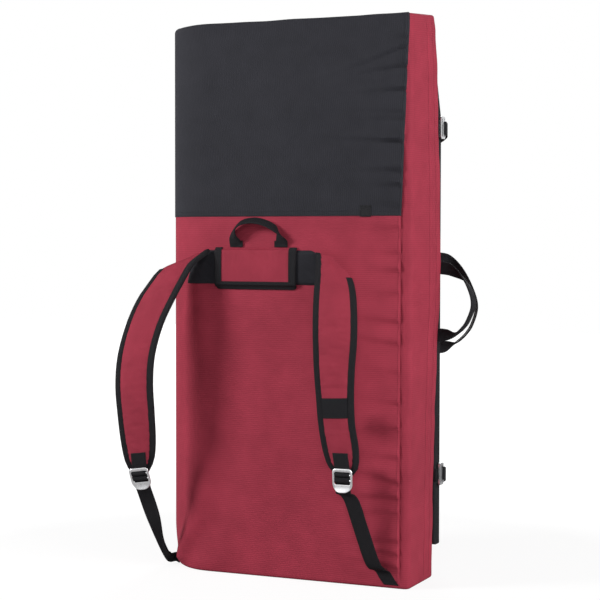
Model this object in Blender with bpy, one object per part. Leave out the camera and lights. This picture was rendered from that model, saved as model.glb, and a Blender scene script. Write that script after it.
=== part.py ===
"""Folding bouldering crash pad, stood on end with its carrying harness on the -Y face.

The near half carries the harness, the fold line is at -X and the open side at +X. The origin is the
middle of the near half's lower end, which rests on the ground, and +Z is up. Lengths are in metres.
"""

import math

import bmesh
import bpy
from mathutils import Vector

# Pad halves
PAD_HEIGHT = 1.05
NEAR_WIDTH = 0.53
WIDTH_STEP = 0.06
FAR_WIDTH = NEAR_WIDTH - WIDTH_STEP
HALF_DEPTH = 0.13
FOLD_RADIUS = 0.118
EDGE_RADIUS = 0.013
REAR_RADIUS = 0.006
HINGE_RADIUS = 0.004
LEAST_RADIUS = 0.001
END_RADIUS = 0.006
FACE_CROWN = 0.006
SIDE_SWELL = 0.016
SWELL_REACH = 0.06
SWELL_SHARES = (
    (0.0, 0.03),
    (0.14, 0.12),
    (0.23, 0.25),
    (0.29, 0.38),
    (0.42, 0.62),
    (0.52, 1.0),
    (0.6, 1.0),
    (0.66, 0.88),
    (0.72, 0.86),
    (0.83, 0.6),
    (0.92, 0.44),
    (0.97, 0.25),
    (1.0, 0.0),
)
COVER_WALL = 0.0015
HALF_GAP = 0.0024
HINGE_CLEARANCE = 0.0015
FIT_GAP = 0.0003
SEWN_GAP = 0.0005
COLOUR_LINE_Z = 0.684
LEVEL_SHARES = (0.15, 0.38, 0.62, 0.85)
UPPER_LEVEL_SHARES = (0.25, 0.5, 0.75)
FOLD_X = -NEAR_WIDTH / 2
FOLD_Y = HALF_DEPTH / 2
FRONT_DEPTH = HALF_DEPTH + FACE_CROWN

# Foam layers
LANDING_FOAM = 0.012
BASE_FOAM = 0.010

# Panels, fold web and zips
PANEL_THICKNESS = 0.0008
PANEL_SEAM_LOW = 0.019
PANEL_SEAM_TOP = 0.004
PANEL_COLUMNS = 8
WEB_WIDTH = 0.045
WEB_THICKNESS = 0.0008
WEB_END = 0.02
ZIP_END = 0.046
ZIP_SLIT = 0.006
ZIP_TAPE = 0.03
ZIP_TAPE_THICKNESS = 0.001
ZIP_MARGIN = 0.012
COIL_WIDTH = 0.006
COIL_HEIGHT = 0.0014
SLIDER_LENGTH = 0.012
SLIDER_WIDTH = 0.009
SLIDER_HEIGHT = 0.003
PULL_LENGTH = 0.026
PULL_WIDTH = 0.006
PULL_THICKNESS = 0.0014

# Webbing
WEBBING_WIDTH = 0.025
WEBBING_THICKNESS = 0.0014
BINDING_WALL = 0.0012
BINDING_REACH = 0.012

# Yoke, its sleeve and the labels
HARNESS_X = -0.042
HARNESS_BELOW_LINE = 0.059
HARNESS_TOP_Z = COLOUR_LINE_Z - HARNESS_BELOW_LINE
SLEEVE_WIDTH = 0.17
SLEEVE_HEIGHT = 0.078
SLEEVE_RISE = 0.0055
SLEEVE_THICKNESS = 0.0014
SLEEVE_BINDING = 0.014
SLEEVE_BINDING_THICKNESS = 0.001
SLEEVE_CORNER = 0.006
SLEEVE_ROUTE_SHARES = (0.0, 0.04, 0.085, 0.17, 0.5, 0.83, 0.935, 0.975, 1.0)
SLEEVE_RISE_SHARES = (0.0, 0.0, 1.0, 1.0, 1.0, 1.0, 1.0, 0.0, 0.0)
YOKE_HEIGHT = 0.064
YOKE_THICKNESS = 0.004
YOKE_DROP = 0.005
YOKE_RIGHT_REACH = 0.13
YOKE_LEFT_REACH = 0.11
YOKE_LEFT_FLARE = 0.043
YOKE_RIGHT_FLARE = 0.022
YOKE_CORNER = 0.016
YOKE_ROW_SHARES = (0.0, 0.07, 0.22, 0.5, 1.0)
YOKE_CORNER_SHARES = (1.0, 0.3, 0.0, 0.0, 0.0)
YOKE_FLARE_SHARES = (0.0, 0.0, 0.0, 0.6, 1.0)
YOKE_COLUMNS = 16
PAD_LABEL_INSET = 0.085
PAD_LABEL_X = FOLD_X + NEAR_WIDTH - PAD_LABEL_INSET
PAD_LABEL_RISE = 0.009
PAD_LABEL_Z = COLOUR_LINE_Z + PAD_LABEL_RISE
PAD_LABEL_WIDTH = 0.022
PAD_LABEL_HEIGHT = 0.021
LABEL_THICKNESS = 0.0006

# Haul handle
HAUL_X = -0.036
HAUL_SPAN = 0.096
HAUL_RISE = 0.048
HAUL_STAND = 0.014
HAUL_PIVOT_RISE = 0.0026
HAUL_THICKNESS = 0.003
HANDLE_END_THICKNESS = 0.001
HAUL_TOP_WIDTH = 0.02
HAUL_ROUTE_SHARES = (
    (0.0, 0.0, 0.0),
    (0.02, 0.25, 0.1),
    (0.08, 0.6, 0.75),
    (0.26, 0.93, 1.0),
    (0.5, 1.0, 1.0),
    (0.74, 0.93, 1.0),
    (0.92, 0.6, 0.75),
    (0.98, 0.25, 0.1),
    (1.0, 0.0, 0.0),
)

# Shoulder straps: rows run down the strap, as shares of its length, with the inner edge's way
# across, stand-off and drop, and then the outer edge's.
STRAP_LENGTH = 0.44
STRAP_EDGE = 0.0022
STRAP_CROWN = 0.0028
STRAP_TUCK = 0.0027
STRAP_END_FADE = 0.012
STRAP_TOP_FADE = 0.02
STRAP_STEPS = 6
STRAP_ROWS = 33
OUTER_BINDING_SHARE = 0.12
RIGHT_STRAP_SHARES = (
    (0.29, 0.0, 0.02, 0.36, 0.0, 0.03),
    (0.295, 0.014, 0.06, 0.405, 0.004, 0.068),
    (0.301, 0.032, 0.11, 0.452, 0.008, 0.116),
    (0.304, 0.055, 0.176, 0.48, 0.026, 0.178),
    (0.311, 0.082, 0.266, 0.498, 0.054, 0.268),
    (0.317, 0.096, 0.38, 0.505, 0.072, 0.38),
    (0.322, 0.096, 0.5, 0.498, 0.077, 0.495),
    (0.33, 0.091, 0.616, 0.494, 0.077, 0.61),
    (0.337, 0.082, 0.733, 0.497, 0.073, 0.726),
    (0.352, 0.073, 0.834, 0.511, 0.066, 0.826),
    (0.374, 0.066, 0.905, 0.509, 0.062, 0.906),
    (0.412, 0.062, 0.944, 0.484, 0.062, 0.943),
)
LEFT_STRAP_SHARES = (
    (-0.218, 0.0, 0.012, -0.285, 0.0, 0.034),
    (-0.253, 0.034, 0.035, -0.36, 0.022, 0.066),
    (-0.29, 0.066, 0.071, -0.44, 0.044, 0.102),
    (-0.314, 0.102, 0.144, -0.485, 0.076, 0.169),
    (-0.334, 0.13, 0.208, -0.522, 0.104, 0.238),
    (-0.37, 0.162, 0.324, -0.553, 0.144, 0.345),
    (-0.395, 0.18, 0.457, -0.575, 0.176, 0.475),
    (-0.4, 0.18, 0.582, -0.578, 0.19, 0.6),
    (-0.4, 0.167, 0.704, -0.571, 0.185, 0.722),
    (-0.406, 0.144, 0.832, -0.564, 0.167, 0.85),
    (-0.423, 0.126, 0.92, -0.552, 0.149, 0.938),
    (-0.455, 0.115, 0.975, -0.53, 0.128, 0.985),
)
STRAP_LABEL_WIDTH = 0.046
STRAP_LABEL_HEIGHT = 0.037
STRAP_LABEL_SHARE = 0.66

# Ladder-lock buckles and the webbing below them
LOCK_WIDTH = 0.04
LOCK_HEIGHT = 0.046
LOCK_THICKNESS = 0.0028
LOCK_TOP_CORNER = 0.007
LOCK_LOW_CORNER = 0.016
LOCK_TOP = 0.007
LOCK_BAR = 0.0034
LOCK_SLOT = 0.003
LOCK_WINDOW = 0.0066
LOCK_LOW_WINDOW = 0.006
LOCK_WINDOW_WIDTH = 0.0285
LOCK_STAND = 0.0062
LOCK_SET_BACK = 0.0028
STUB_LENGTH = 0.04
PLY_GAP = 0.0005
TAIL_SPREAD = 0.0016
TURN_STEPS = 6

# Free webbing below each lock: shares of the way from the lock's lip to the pad, with the way
# across and out as shares of that distance. Anchors: shares of the near half's width and of the
# pad's height, and the lift off the cover.
RIGHT_FALL_SHARES = ((0.0874, 0.0506, -0.01), (0.4621, 0.0064, 0.0239), (0.9093, -0.0371, 0.072))
RIGHT_ANCHOR_SHARES = ((0.9039, 0.0308, 9.0), (0.9189, 0.01863, 3.0), (0.9355, 0.0069, 1.0))
RIGHT_TAIL_SHARE = 0.62
LEFT_FALL_SHARES = ((0.1942, 0.0026, 0.0166), (0.5028, 0.0235, 0.1455), (0.8114, 0.0276, 0.1206))
LEFT_ANCHOR_SHARES = ((0.0754, 0.0316, 9.0), (0.0721, 0.01863, 3.5), (0.0638, 0.0069, 1.0))
LEFT_TAIL_SHARE = 0.62
ANCHOR_LIFT = 0.0004

# Closure flap and its hooks
FLAP_THICKNESS = 0.004
FLAP_SLOT_GAP = 0.0008
FLAP_LOW_Z = 0.06
FLAP_TOP_Z = 0.985
FLAP_CORNER = 0.01
FLAP_TUCK = 0.016
FLAP_TUCK_Z = 0.87
FLAP_ROUTE_SHARES = ((-0.02, 0.03), (0.0, 0.2), (-0.17, 0.39), (-0.5, 0.66))
FLAP_ROOT_SHARE = 0.86
FLAP_HINGE_CLEARANCE = 0.0003
FLAP_STEPS = 4
FLAP_BINDING = 0.025
FLAP_BINDING_WALL = 0.001
HOOK_UPPER_Z = 0.852
HOOK_LOWER_Z = 0.195
HOOK_HEIGHT = 0.042
HOOK_LENGTH = 0.026
HOOK_THICKNESS = 0.003
HOOK_BAR = 0.004
HOOK_WINDOW = 0.006
HOOK_CORNER = 0.005
HOOK_STAND = 0.0058
HOOK_SET_BACK = 0.004
CLOSURE_SEWN = 0.03
CLOSURE_TAIL = 0.028
CLOSURE_TAIL_RISE = 0.0055
CLOSURE_TAIL_DROP = 0.016
CLOSURE_TAIL_SHARES = ((0.25, 1.0), (0.6, 0.6), (0.85, 0.12), (1.0, 0.05))
TAB_INSIDE = 0.026

# Side carry handles
NEAR_HANDLE_TOP_Z = 0.588
NEAR_HANDLE_LOW_Z = 0.461
NEAR_HANDLE_REACH = 0.068
NEAR_HANDLE_STAND = -0.0016
NEAR_HANDLE_INSET = 0.0023
NEAR_HANDLE_LOW_INSET = 0.0047
FAR_HANDLE_TOP_Z = 0.604
FAR_HANDLE_LOW_Z = 0.441
FAR_HANDLE_REACH = 0.074
FAR_HANDLE_SHARE = 0.34
HANDLE_THICKNESS = 0.003
HANDLE_STEPS = 5
HANDLE_ROUTE_SHARES = (
    (0.0, 0.0),
    (0.28, 0.01),
    (0.62, 0.1),
    (0.92, 0.3),
    (1.0, 0.52),
    (0.9, 0.76),
    (0.55, 0.94),
    (0.25, 0.99),
    (0.0, 1.0),
)
HANDLE_TURN_SHARES = (0.0, 0.12, 0.6, 1.0, 1.0, 1.0, 0.55, 0.1, 0.0)

CUT_OVERRUN = 0.01

FINISHES = {
    "red_canvas": ((0.32, 0.025, 0.05), 0.8, 0.0),
    "black_canvas": ((0.012, 0.013, 0.016), 0.82, 0.0),
    "black_webbing": ((0.01, 0.01, 0.012), 0.7, 0.0),
    "brushed_aluminium": ((0.72, 0.73, 0.75), 0.32, 1.0),
    "closed_cell_foam": ((0.07, 0.075, 0.085), 0.9, 0.0),
    "open_cell_foam": ((0.55, 0.56, 0.5), 0.95, 0.0),
    "zip_plastic": ((0.015, 0.015, 0.017), 0.45, 0.0),
}


def finish(name):
    """The named finish as a material, made once."""
    made = bpy.data.materials.get(name)
    if made:
        return made
    colour, roughness, metallic = FINISHES[name]
    made = bpy.data.materials.new(name)
    made.use_nodes = True
    shader = made.node_tree.nodes["Principled BSDF"]
    shader.inputs["Base Color"].default_value = (*colour, 1.0)
    shader.inputs["Roughness"].default_value = roughness
    shader.inputs["Metallic"].default_value = metallic
    made.diffuse_color = (*colour, 1.0)
    return made


def add_object(name, shape, finish_name):
    """An object from a bmesh, with its faces pointing out and sharp edges kept."""
    bmesh.ops.recalc_face_normals(shape, faces=shape.faces)
    if shape.calc_volume(signed=True) < 0:
        bmesh.ops.reverse_faces(shape, faces=shape.faces)
    mesh = bpy.data.meshes.new(name)
    shape.to_mesh(mesh)
    shape.free()
    mesh.shade_smooth()
    mesh.set_sharp_from_angle(angle=math.radians(35))
    mesh.materials.append(finish(finish_name))
    made = bpy.data.objects.new(name, mesh)
    bpy.context.scene.collection.objects.link(made)
    return made


def loft(name, rings, finish_name, close_ends=True):
    """A solid through rings of points, all of one count, with flat caps or an open rim joined up."""
    shape = bmesh.new()
    loops = [[shape.verts.new(point) for point in ring] for ring in rings]
    count = len(loops[0])
    for first, second in zip(loops, loops[1:]):
        for k in range(count):
            after = (k + 1) % count
            shape.faces.new((first[k], first[after], second[after], second[k]))
    if close_ends:
        shape.faces.new(loops[0])
        shape.faces.new(loops[-1])
    return add_object(name, shape, finish_name)


def sheet(name, rows, thickness, finish_name, lift=0.0, towards=None, normals=None, keep=None):
    """A closed sheet over a grid of points. It rises from lift to lift plus thickness along the
    grid's own normals, turned to face the given direction, and covers the cells that are kept."""
    last_row = len(rows) - 1
    last_column = len(rows[0]) - 1

    def normal(i, j):
        down = rows[min(i + 1, last_row)][j] - rows[max(i - 1, 0)][j]
        across = rows[i][min(j + 1, last_column)] - rows[i][max(j - 1, 0)]
        return across.cross(down).normalized()

    def value(source, i, j):
        return source(i, j) if callable(source) else source

    sign = 1.0
    if towards and normal(last_row // 2, last_column // 2).dot(towards) < 0:
        sign = -1.0
    shape = bmesh.new()
    low = {}
    high = {}
    for i, row in enumerate(rows):
        for j, point in enumerate(row):
            away = normals[i] if normals else normal(i, j) * sign
            base = point + away * value(lift, i, j)
            low[i, j] = shape.verts.new(base)
            high[i, j] = shape.verts.new(base + away * value(thickness, i, j))
    cells = [(i, j) for i in range(last_row) for j in range(last_column)]
    kept = {cell for cell in cells if keep is None or keep(*cell)}
    for i, j in kept:
        corners = ((i, j), (i, j + 1), (i + 1, j + 1), (i + 1, j))
        beside = ((i - 1, j), (i, j + 1), (i + 1, j), (i, j - 1))
        shape.faces.new([low[c] for c in corners])
        shape.faces.new([high[c] for c in reversed(corners)])
        for k, neighbour in enumerate(beside):
            if neighbour not in kept:
                a, b = corners[k], corners[(k + 1) % 4]
                shape.faces.new((low[b], low[a], high[a], high[b]))
    loose = [vert for vert in shape.verts if not vert.link_faces]
    for vert in loose:
        shape.verts.remove(vert)
    return add_object(name, shape, finish_name)


def smooth_through(points, steps):
    """Points on a smooth curve through the given ones, with the given steps between each two."""
    out = []
    count = len(points)
    for k in range(count - 1):
        before = points[max(k - 1, 0)]
        start = points[k]
        end = points[k + 1]
        after = points[min(k + 2, count - 1)]
        for step in range(steps):
            t = step / steps
            out.append(
                (
                    2 * start
                    + (end - before) * t
                    + (2 * before - 5 * start + 4 * end - after) * t * t
                    + (3 * start - before - 3 * end + after) * t * t * t
                )
                / 2
            )
    out.append(points[-1].copy())
    return out


def along(points, distance):
    """The point that far along a chain of points, and the direction there."""
    left = distance
    for start, end in zip(points, points[1:]):
        length = (end - start).length
        if left <= length:
            return start + (end - start) * (left / length), (end - start).normalized()
        left -= length
    return points[-1].copy(), (points[-1] - points[-2]).normalized()


# Pad halves


def pad_point(half, u, v, z):
    """A point at u from the fold line and v from the fold plane, in the near or the far half."""
    side = -1 if half == "near" else 1
    return Vector((FOLD_X + u, FOLD_Y + side * v, z))


def outline(width, inset):
    """One half's outline from above, as (u, v), drawn in by the inset. It is convex."""
    low_u = HINGE_CLEARANCE + inset
    high_u = width - inset
    low_v = HALF_GAP / 2 + inset
    high_v = HALF_DEPTH - inset
    corners = (
        (low_u, low_v, HINGE_RADIUS, 2, 180, 4),
        (high_u, low_v, REAR_RADIUS, 2, 270, 4),
        (high_u, high_v, EDGE_RADIUS, 3, 0, 7),
        (low_u, high_v, FOLD_RADIUS, 12, 90, 1),
    )
    arcs = []
    for u, v, radius, steps, start, _ in corners:
        radius = max(radius - inset, LEAST_RADIUS)
        centre_u = u + radius if u == low_u else u - radius
        centre_v = v + radius if v == low_v else v - radius
        angles = [math.radians(start + 90 * k / steps) for k in range(steps + 1)]
        arcs.append(
            [Vector((centre_u + radius * math.cos(a), centre_v + radius * math.sin(a))) for a in angles]
        )
    points = []
    for k, arc in enumerate(arcs):
        points += arc
        start = arc[-1]
        end = arcs[(k + 1) % len(arcs)][0]
        splits = corners[k][5]
        points += [start.lerp(end, step / splits) for step in range(1, splits)]
    return points


def fullness(z):
    """How far the outer face swells at this height: all the way at the middle, not at the ends."""
    return 1 - (2 * z / PAD_HEIGHT - 1) ** 4


def side_fullness(z):
    """How far the open side swells at this height, read from its shares."""
    share = z / PAD_HEIGHT
    for (low, start), (high, end) in zip(SWELL_SHARES, SWELL_SHARES[1:]):
        if share <= high:
            return start + (end - start) * max(share - low, 0.0) / (high - low)
    return SWELL_SHARES[-1][1]


def face_crown(u, width):
    """The outer face's swelling at u, as a share of the crown."""
    share = (u - HINGE_CLEARANCE - FOLD_RADIUS) / (width - EDGE_RADIUS - HINGE_CLEARANCE - FOLD_RADIUS)
    share = min(max(share, 0.0), 1.0)
    return 4 * share * (1 - share)


def swollen(u, v, z, width, swell):
    """An outline point moved out by the foam behind the cover."""
    if v > HALF_DEPTH - END_RADIUS:
        v += FACE_CROWN * fullness(z) * face_crown(u, width) * (v > HALF_DEPTH - COVER_WALL * 2)
    reach = min(max((u - width + SWELL_REACH) / SWELL_REACH, 0.0), 1.0)
    u += swell * side_fullness(z) * reach * (1 - v / FRONT_DEPTH)
    return u, v


def cover_ring(half, width, swell, z, inset):
    points = [swollen(p.x, p.y, z, width, swell) for p in outline(width, inset)]
    return [pad_point(half, u, v, z) for u, v in points]


def zip_half_length(width):
    return (width - FOLD_RADIUS) / 2 - ZIP_END


def slit_ring(half, width, z):
    """The zip's slit in the upper end, with a point for each point of the outline."""
    centre_u = (FOLD_RADIUS + width) / 2
    centre_v = HALF_DEPTH / 2
    ring = []
    for point in outline(width, 0):
        angle = math.atan2((point.y - centre_v) / centre_v, (point.x - width / 2) / (width / 2))
        u = centre_u + zip_half_length(width) * math.cos(angle)
        v = centre_v + ZIP_SLIT / 2 * math.sin(angle)
        ring.append(pad_point(half, u, v, z))
    return ring


def cover_levels():
    """Heights between the rounded ends, with one on the colour line."""
    low = [COLOUR_LINE_Z * share for share in LEVEL_SHARES]
    top = PAD_HEIGHT - END_RADIUS
    high = [COLOUR_LINE_Z + (top - COLOUR_LINE_Z) * share for share in UPPER_LEVEL_SHARES]
    return low + [COLOUR_LINE_Z] + high


def make_cover(half, width, swell):
    """A sewn cover: an outer and an inner skin, joined round the zip's slit in the upper end."""

    def rounded_end(turns, wall):
        places = []
        for turn in turns:
            angle = math.radians(turn)
            rise = END_RADIUS * (1 - math.cos(angle))
            places.append((wall + rise, wall + END_RADIUS * (1 - math.sin(angle))))
        return places

    rings = []
    for turns, wall, inward in (((0, 30, 60, 90), 0.0, False), ((0, 90), COVER_WALL, True)):
        end = rounded_end(turns, wall)
        levels = end + [(z, wall) for z in cover_levels()]
        levels += [(PAD_HEIGHT - z, inset) for z, inset in reversed(end)]
        skin = [cover_ring(half, width, swell, z, inset) for z, inset in levels]
        skin.append(slit_ring(half, width, PAD_HEIGHT - wall))
        rings += reversed(skin) if inward else skin
    return loft(half + "_cover", rings, "red_canvas")


def clip_depth(points, low_v, high_v):
    """The part of a convex outline between two depths."""
    for bound, keep_above in ((low_v, True), (high_v, False)):
        kept = []
        for k, point in enumerate(points):
            before = points[k - 1]
            inside = (point.y >= bound) == keep_above
            was_inside = (before.y >= bound) == keep_above
            if inside != was_inside:
                kept.append(before.lerp(point, (bound - before.y) / (point.y - before.y)))
            if inside:
                kept.append(point)
        points = kept
    return points


def make_foam(half, width, name, low_v, high_v, finish_name):
    """One foam layer, cut to the cover's inner outline."""
    points = clip_depth(outline(width, COVER_WALL + FIT_GAP), low_v, high_v)
    low_z = END_RADIUS + COVER_WALL + FIT_GAP
    rings = [[pad_point(half, p.x, p.y, z) for p in points] for z in (low_z, PAD_HEIGHT - low_z)]
    return loft(half + "_" + name, rings, finish_name)


def make_foam_stack(half, width):
    """Closed-cell foam on the landing side, open-cell core, closed-cell foam on the ground side."""
    inner = HALF_GAP / 2 + COVER_WALL + FIT_GAP
    outer = HALF_DEPTH - COVER_WALL - FIT_GAP
    make_foam(half, width, "landing_foam", inner, inner + LANDING_FOAM, "closed_cell_foam")
    core_low = inner + LANDING_FOAM + FIT_GAP
    core_high = outer - BASE_FOAM - FIT_GAP
    make_foam(half, width, "core_foam", core_low, core_high, "open_cell_foam")
    make_foam(half, width, "base_foam", outer - BASE_FOAM, outer, "closed_cell_foam")


def make_upper_panel(half, width, swell):
    """Tough black sheet sewn over the upper third of the outer face, its top and the fold."""
    start = HINGE_CLEARANCE + FOLD_RADIUS
    levels = [(z, 0.0) for z in cover_levels() if z >= COLOUR_LINE_Z]
    for turn in (90, 60, 30, 0):
        angle = math.radians(turn)
        drop = END_RADIUS * (1 - math.cos(angle))
        levels.append((PAD_HEIGHT - drop, END_RADIUS * (1 - math.sin(angle))))
    rows = []
    for z, inset in levels:
        share = (z - COLOUR_LINE_Z) / (PAD_HEIGHT - COLOUR_LINE_Z)
        seam = width - PANEL_SEAM_LOW + (PANEL_SEAM_LOW - PANEL_SEAM_TOP) * share
        seam = min(seam, width - EDGE_RADIUS + (EDGE_RADIUS - PANEL_SEAM_TOP) * share)
        path = [Vector((u, HALF_DEPTH - inset)) for u in spread(seam, start, PANEL_COLUMNS)]
        radius = FOLD_RADIUS - inset
        for step in range(1, 13):
            angle = math.radians(90 + 90 * step / 12)
            u = start + radius * math.cos(angle)
            path.append(Vector((u, HALF_DEPTH - FOLD_RADIUS + radius * math.sin(angle))))
        moved = [swollen(p.x, p.y, z, width, swell) for p in path]
        rows.append([pad_point(half, u, v, z) for u, v in moved])
    outwards = Vector((0, -1 if half == "near" else 1, 0))
    sheet(half + "_upper_panel", rows, PANEL_THICKNESS, "black_canvas", FIT_GAP, outwards)


def spread(low, high, count):
    return [low + (high - low) * k / (count - 1) for k in range(count)]


def make_fold_web():
    """The fabric hinge, a flat web along the fold line between the two landing faces."""
    edges = (2 * HINGE_CLEARANCE, WEB_WIDTH)
    rows = [
        [Vector((FOLD_X + u, FOLD_Y - WEB_THICKNESS / 2, z)) for u in edges]
        for z in (WEB_END, PAD_HEIGHT - WEB_END)
    ]
    sheet("fold_web", rows, WEB_THICKNESS, "black_webbing", 0.0, Vector((0, 1, 0)))


def make_zip(half, width):
    """Tape and coil along the slit in the upper end, and the slider at its closed end."""
    half_length = zip_half_length(width) + ZIP_MARGIN
    low_u = (FOLD_RADIUS + width) / 2 - half_length
    high_u = low_u + 2 * half_length
    tape_z = PAD_HEIGHT + FIT_GAP
    coil_z = tape_z + ZIP_TAPE_THICKNESS
    section = (
        (-ZIP_TAPE / 2, tape_z),
        (ZIP_TAPE / 2, tape_z),
        (ZIP_TAPE / 2, coil_z),
        (COIL_WIDTH / 2, coil_z),
        (COIL_WIDTH / 2, coil_z + COIL_HEIGHT),
        (-COIL_WIDTH / 2, coil_z + COIL_HEIGHT),
        (-COIL_WIDTH / 2, coil_z),
        (-ZIP_TAPE / 2, coil_z),
    )
    middle = HALF_DEPTH / 2
    rings = [[pad_point(half, u, middle + v, z) for v, z in section] for u in (low_u, high_u)]
    loft(half + "_zip", rings, "zip_plastic")
    slider_z = coil_z + COIL_HEIGHT + FIT_GAP
    top_z = slider_z + SLIDER_HEIGHT
    nose = high_u - ZIP_MARGIN
    tail = nose - SLIDER_LENGTH
    pull_end = tail - PULL_LENGTH
    sections = (
        (nose, SLIDER_WIDTH * 0.7, slider_z, top_z - PULL_THICKNESS),
        (nose - SLIDER_LENGTH / 3, SLIDER_WIDTH, slider_z, top_z),
        (tail, SLIDER_WIDTH, slider_z, top_z),
        (tail - PULL_THICKNESS, PULL_WIDTH, slider_z, slider_z + PULL_THICKNESS),
        (pull_end, PULL_WIDTH, slider_z, slider_z + PULL_THICKNESS),
    )
    rings = []
    for u, size, low, high in sections:
        corners = ((-1, low), (1, low), (1, high), (-1, high))
        rings.append([pad_point(half, u, middle + side * size / 2, z) for side, z in corners])
    loft(half + "_zip_slider", rings, "brushed_aluminium")


# Harness on the near half


def face_point(x, z, out):
    """A point that far out from the near half's outer face, which curves away at the fold."""
    u = x - FOLD_X
    start = HINGE_CLEARANCE + FOLD_RADIUS
    if u < start:
        v = HALF_DEPTH - FOLD_RADIUS + math.sqrt(FOLD_RADIUS**2 - (start - u) ** 2)
        away = Vector((-(start - u), -(v - HALF_DEPTH + FOLD_RADIUS), 0)).normalized()
    else:
        v = HALF_DEPTH + FACE_CROWN * fullness(z) * face_crown(u, NEAR_WIDTH)
        away = Vector((0, -1, 0))
    return pad_point("near", u, v, z) + away * out


def sleeve_rows(columns):
    low_z = HARNESS_TOP_Z - SLEEVE_HEIGHT
    rows = []
    for share, rise in zip(SLEEVE_ROUTE_SHARES, SLEEVE_RISE_SHARES):
        out = SEWN_GAP + SLEEVE_RISE * rise
        rows.append([face_point(x, low_z + SLEEVE_HEIGHT * share, out) for x in columns])
    return rows


def round_corners(rows):
    for column, towards in ((0, 1), (-1, -1)):
        rows[0][column].x += towards * SLEEVE_CORNER
        rows[1][column].x += towards * SLEEVE_CORNER * 0.4


def make_sleeve():
    """The patch that holds the yoke: hemmed to the face above and below, open at both ends, and
    bound with black tape at its sides and lower edge."""
    left = HARNESS_X - SLEEVE_WIDTH / 2
    right = left + SLEEVE_WIDTH
    columns = [left + FIT_GAP] + spread(left + SLEEVE_BINDING, right - SLEEVE_BINDING, 5)
    columns.append(right - FIT_GAP)
    front = Vector((0, -1, 0))
    rows = sleeve_rows(columns)
    round_corners(rows)
    sheet("harness_sleeve", rows, SLEEVE_THICKNESS, "red_canvas", 0.0, front)
    columns[0] = left
    columns[-1] = right
    rows = sleeve_rows(columns)
    round_corners(rows)
    bound_rows = 3
    last = len(columns) - 2

    def keep(i, j):
        return i < bound_rows or j in (0, last)

    sheet(
        "sleeve_binding",
        rows,
        SLEEVE_BINDING_THICKNESS,
        "black_webbing",
        SLEEVE_THICKNESS + FIT_GAP,
        front,
        None,
        keep,
    )


def yoke_front():
    """How far the yoke's front stands from the face."""
    return SEWN_GAP + YOKE_THICKNESS


def make_yoke():
    """Black padded band that passes behind the sleeve and ends in the two straps' wings."""
    top_z = HARNESS_TOP_Z - YOKE_DROP
    rows = []
    for share, corner, flare in zip(YOKE_ROW_SHARES, YOKE_CORNER_SHARES, YOKE_FLARE_SHARES):
        left = HARNESS_X - YOKE_LEFT_REACH - YOKE_LEFT_FLARE * share
        right = HARNESS_X + YOKE_RIGHT_REACH + YOKE_RIGHT_FLARE * flare - YOKE_CORNER * corner
        columns = spread(left, right, YOKE_COLUMNS)
        rows.append([face_point(x, top_z - YOKE_HEIGHT * share, SEWN_GAP) for x in columns])
    sheet("yoke", rows, YOKE_THICKNESS, "black_canvas", 0.0, Vector((0, -1, 0)))


def make_pad_label():
    half_width = PAD_LABEL_WIDTH / 2
    half_height = PAD_LABEL_HEIGHT / 2
    out = FIT_GAP + PANEL_THICKNESS + FIT_GAP * 2
    rows = [
        [face_point(PAD_LABEL_X + x, PAD_LABEL_Z + z, out) for x in (-half_width, half_width)]
        for z in (-half_height, half_height)
    ]
    sheet("pad_label", rows, LABEL_THICKNESS, "black_webbing", 0.0, Vector((0, -1, 0)))


def handle_sheet(name, rows, thickness):
    """A handle's webbing, full in its grip and pressed thin where its ends are sewn down."""

    def local(i, j):
        return HANDLE_END_THICKNESS if i in (0, len(rows) - 1) else thickness

    sheet(name, rows, local, "black_webbing", lambda i, j: -local(i, j) / 2)


def make_haul_handle():
    """Webbing grab loop above the sleeve: flat on the pad at its ends and on edge at its top."""
    low_z = HARNESS_TOP_Z + HAUL_PIVOT_RISE
    centres = []
    turns = []
    for share, rise, turn in HAUL_ROUTE_SHARES:
        x = HAUL_X + HAUL_SPAN * (share - 0.5)
        out = SEWN_GAP + HANDLE_END_THICKNESS / 2 + HAUL_STAND * min(rise * 1.2, 1.0)
        centres.append(face_point(x, low_z + HAUL_RISE * rise, out))
        turns.append(Vector((turn, 0, 0)))
    centres = smooth_through(centres, 2)
    turns = smooth_through(turns, 2)
    rows = []
    for centre, turn in zip(centres, turns):
        share = min(max(turn.x, 0.0), 1.0)
        angle = share * math.pi / 2
        width = WEBBING_WIDTH + (HAUL_TOP_WIDTH - WEBBING_WIDTH) * share
        across = Vector((math.cos(angle), -math.sin(angle), 0)) * width / 2
        rows.append([centre - across, centre + across])
    handle_sheet("haul_handle", rows, HAUL_THICKNESS)


# Shoulder straps


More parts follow.
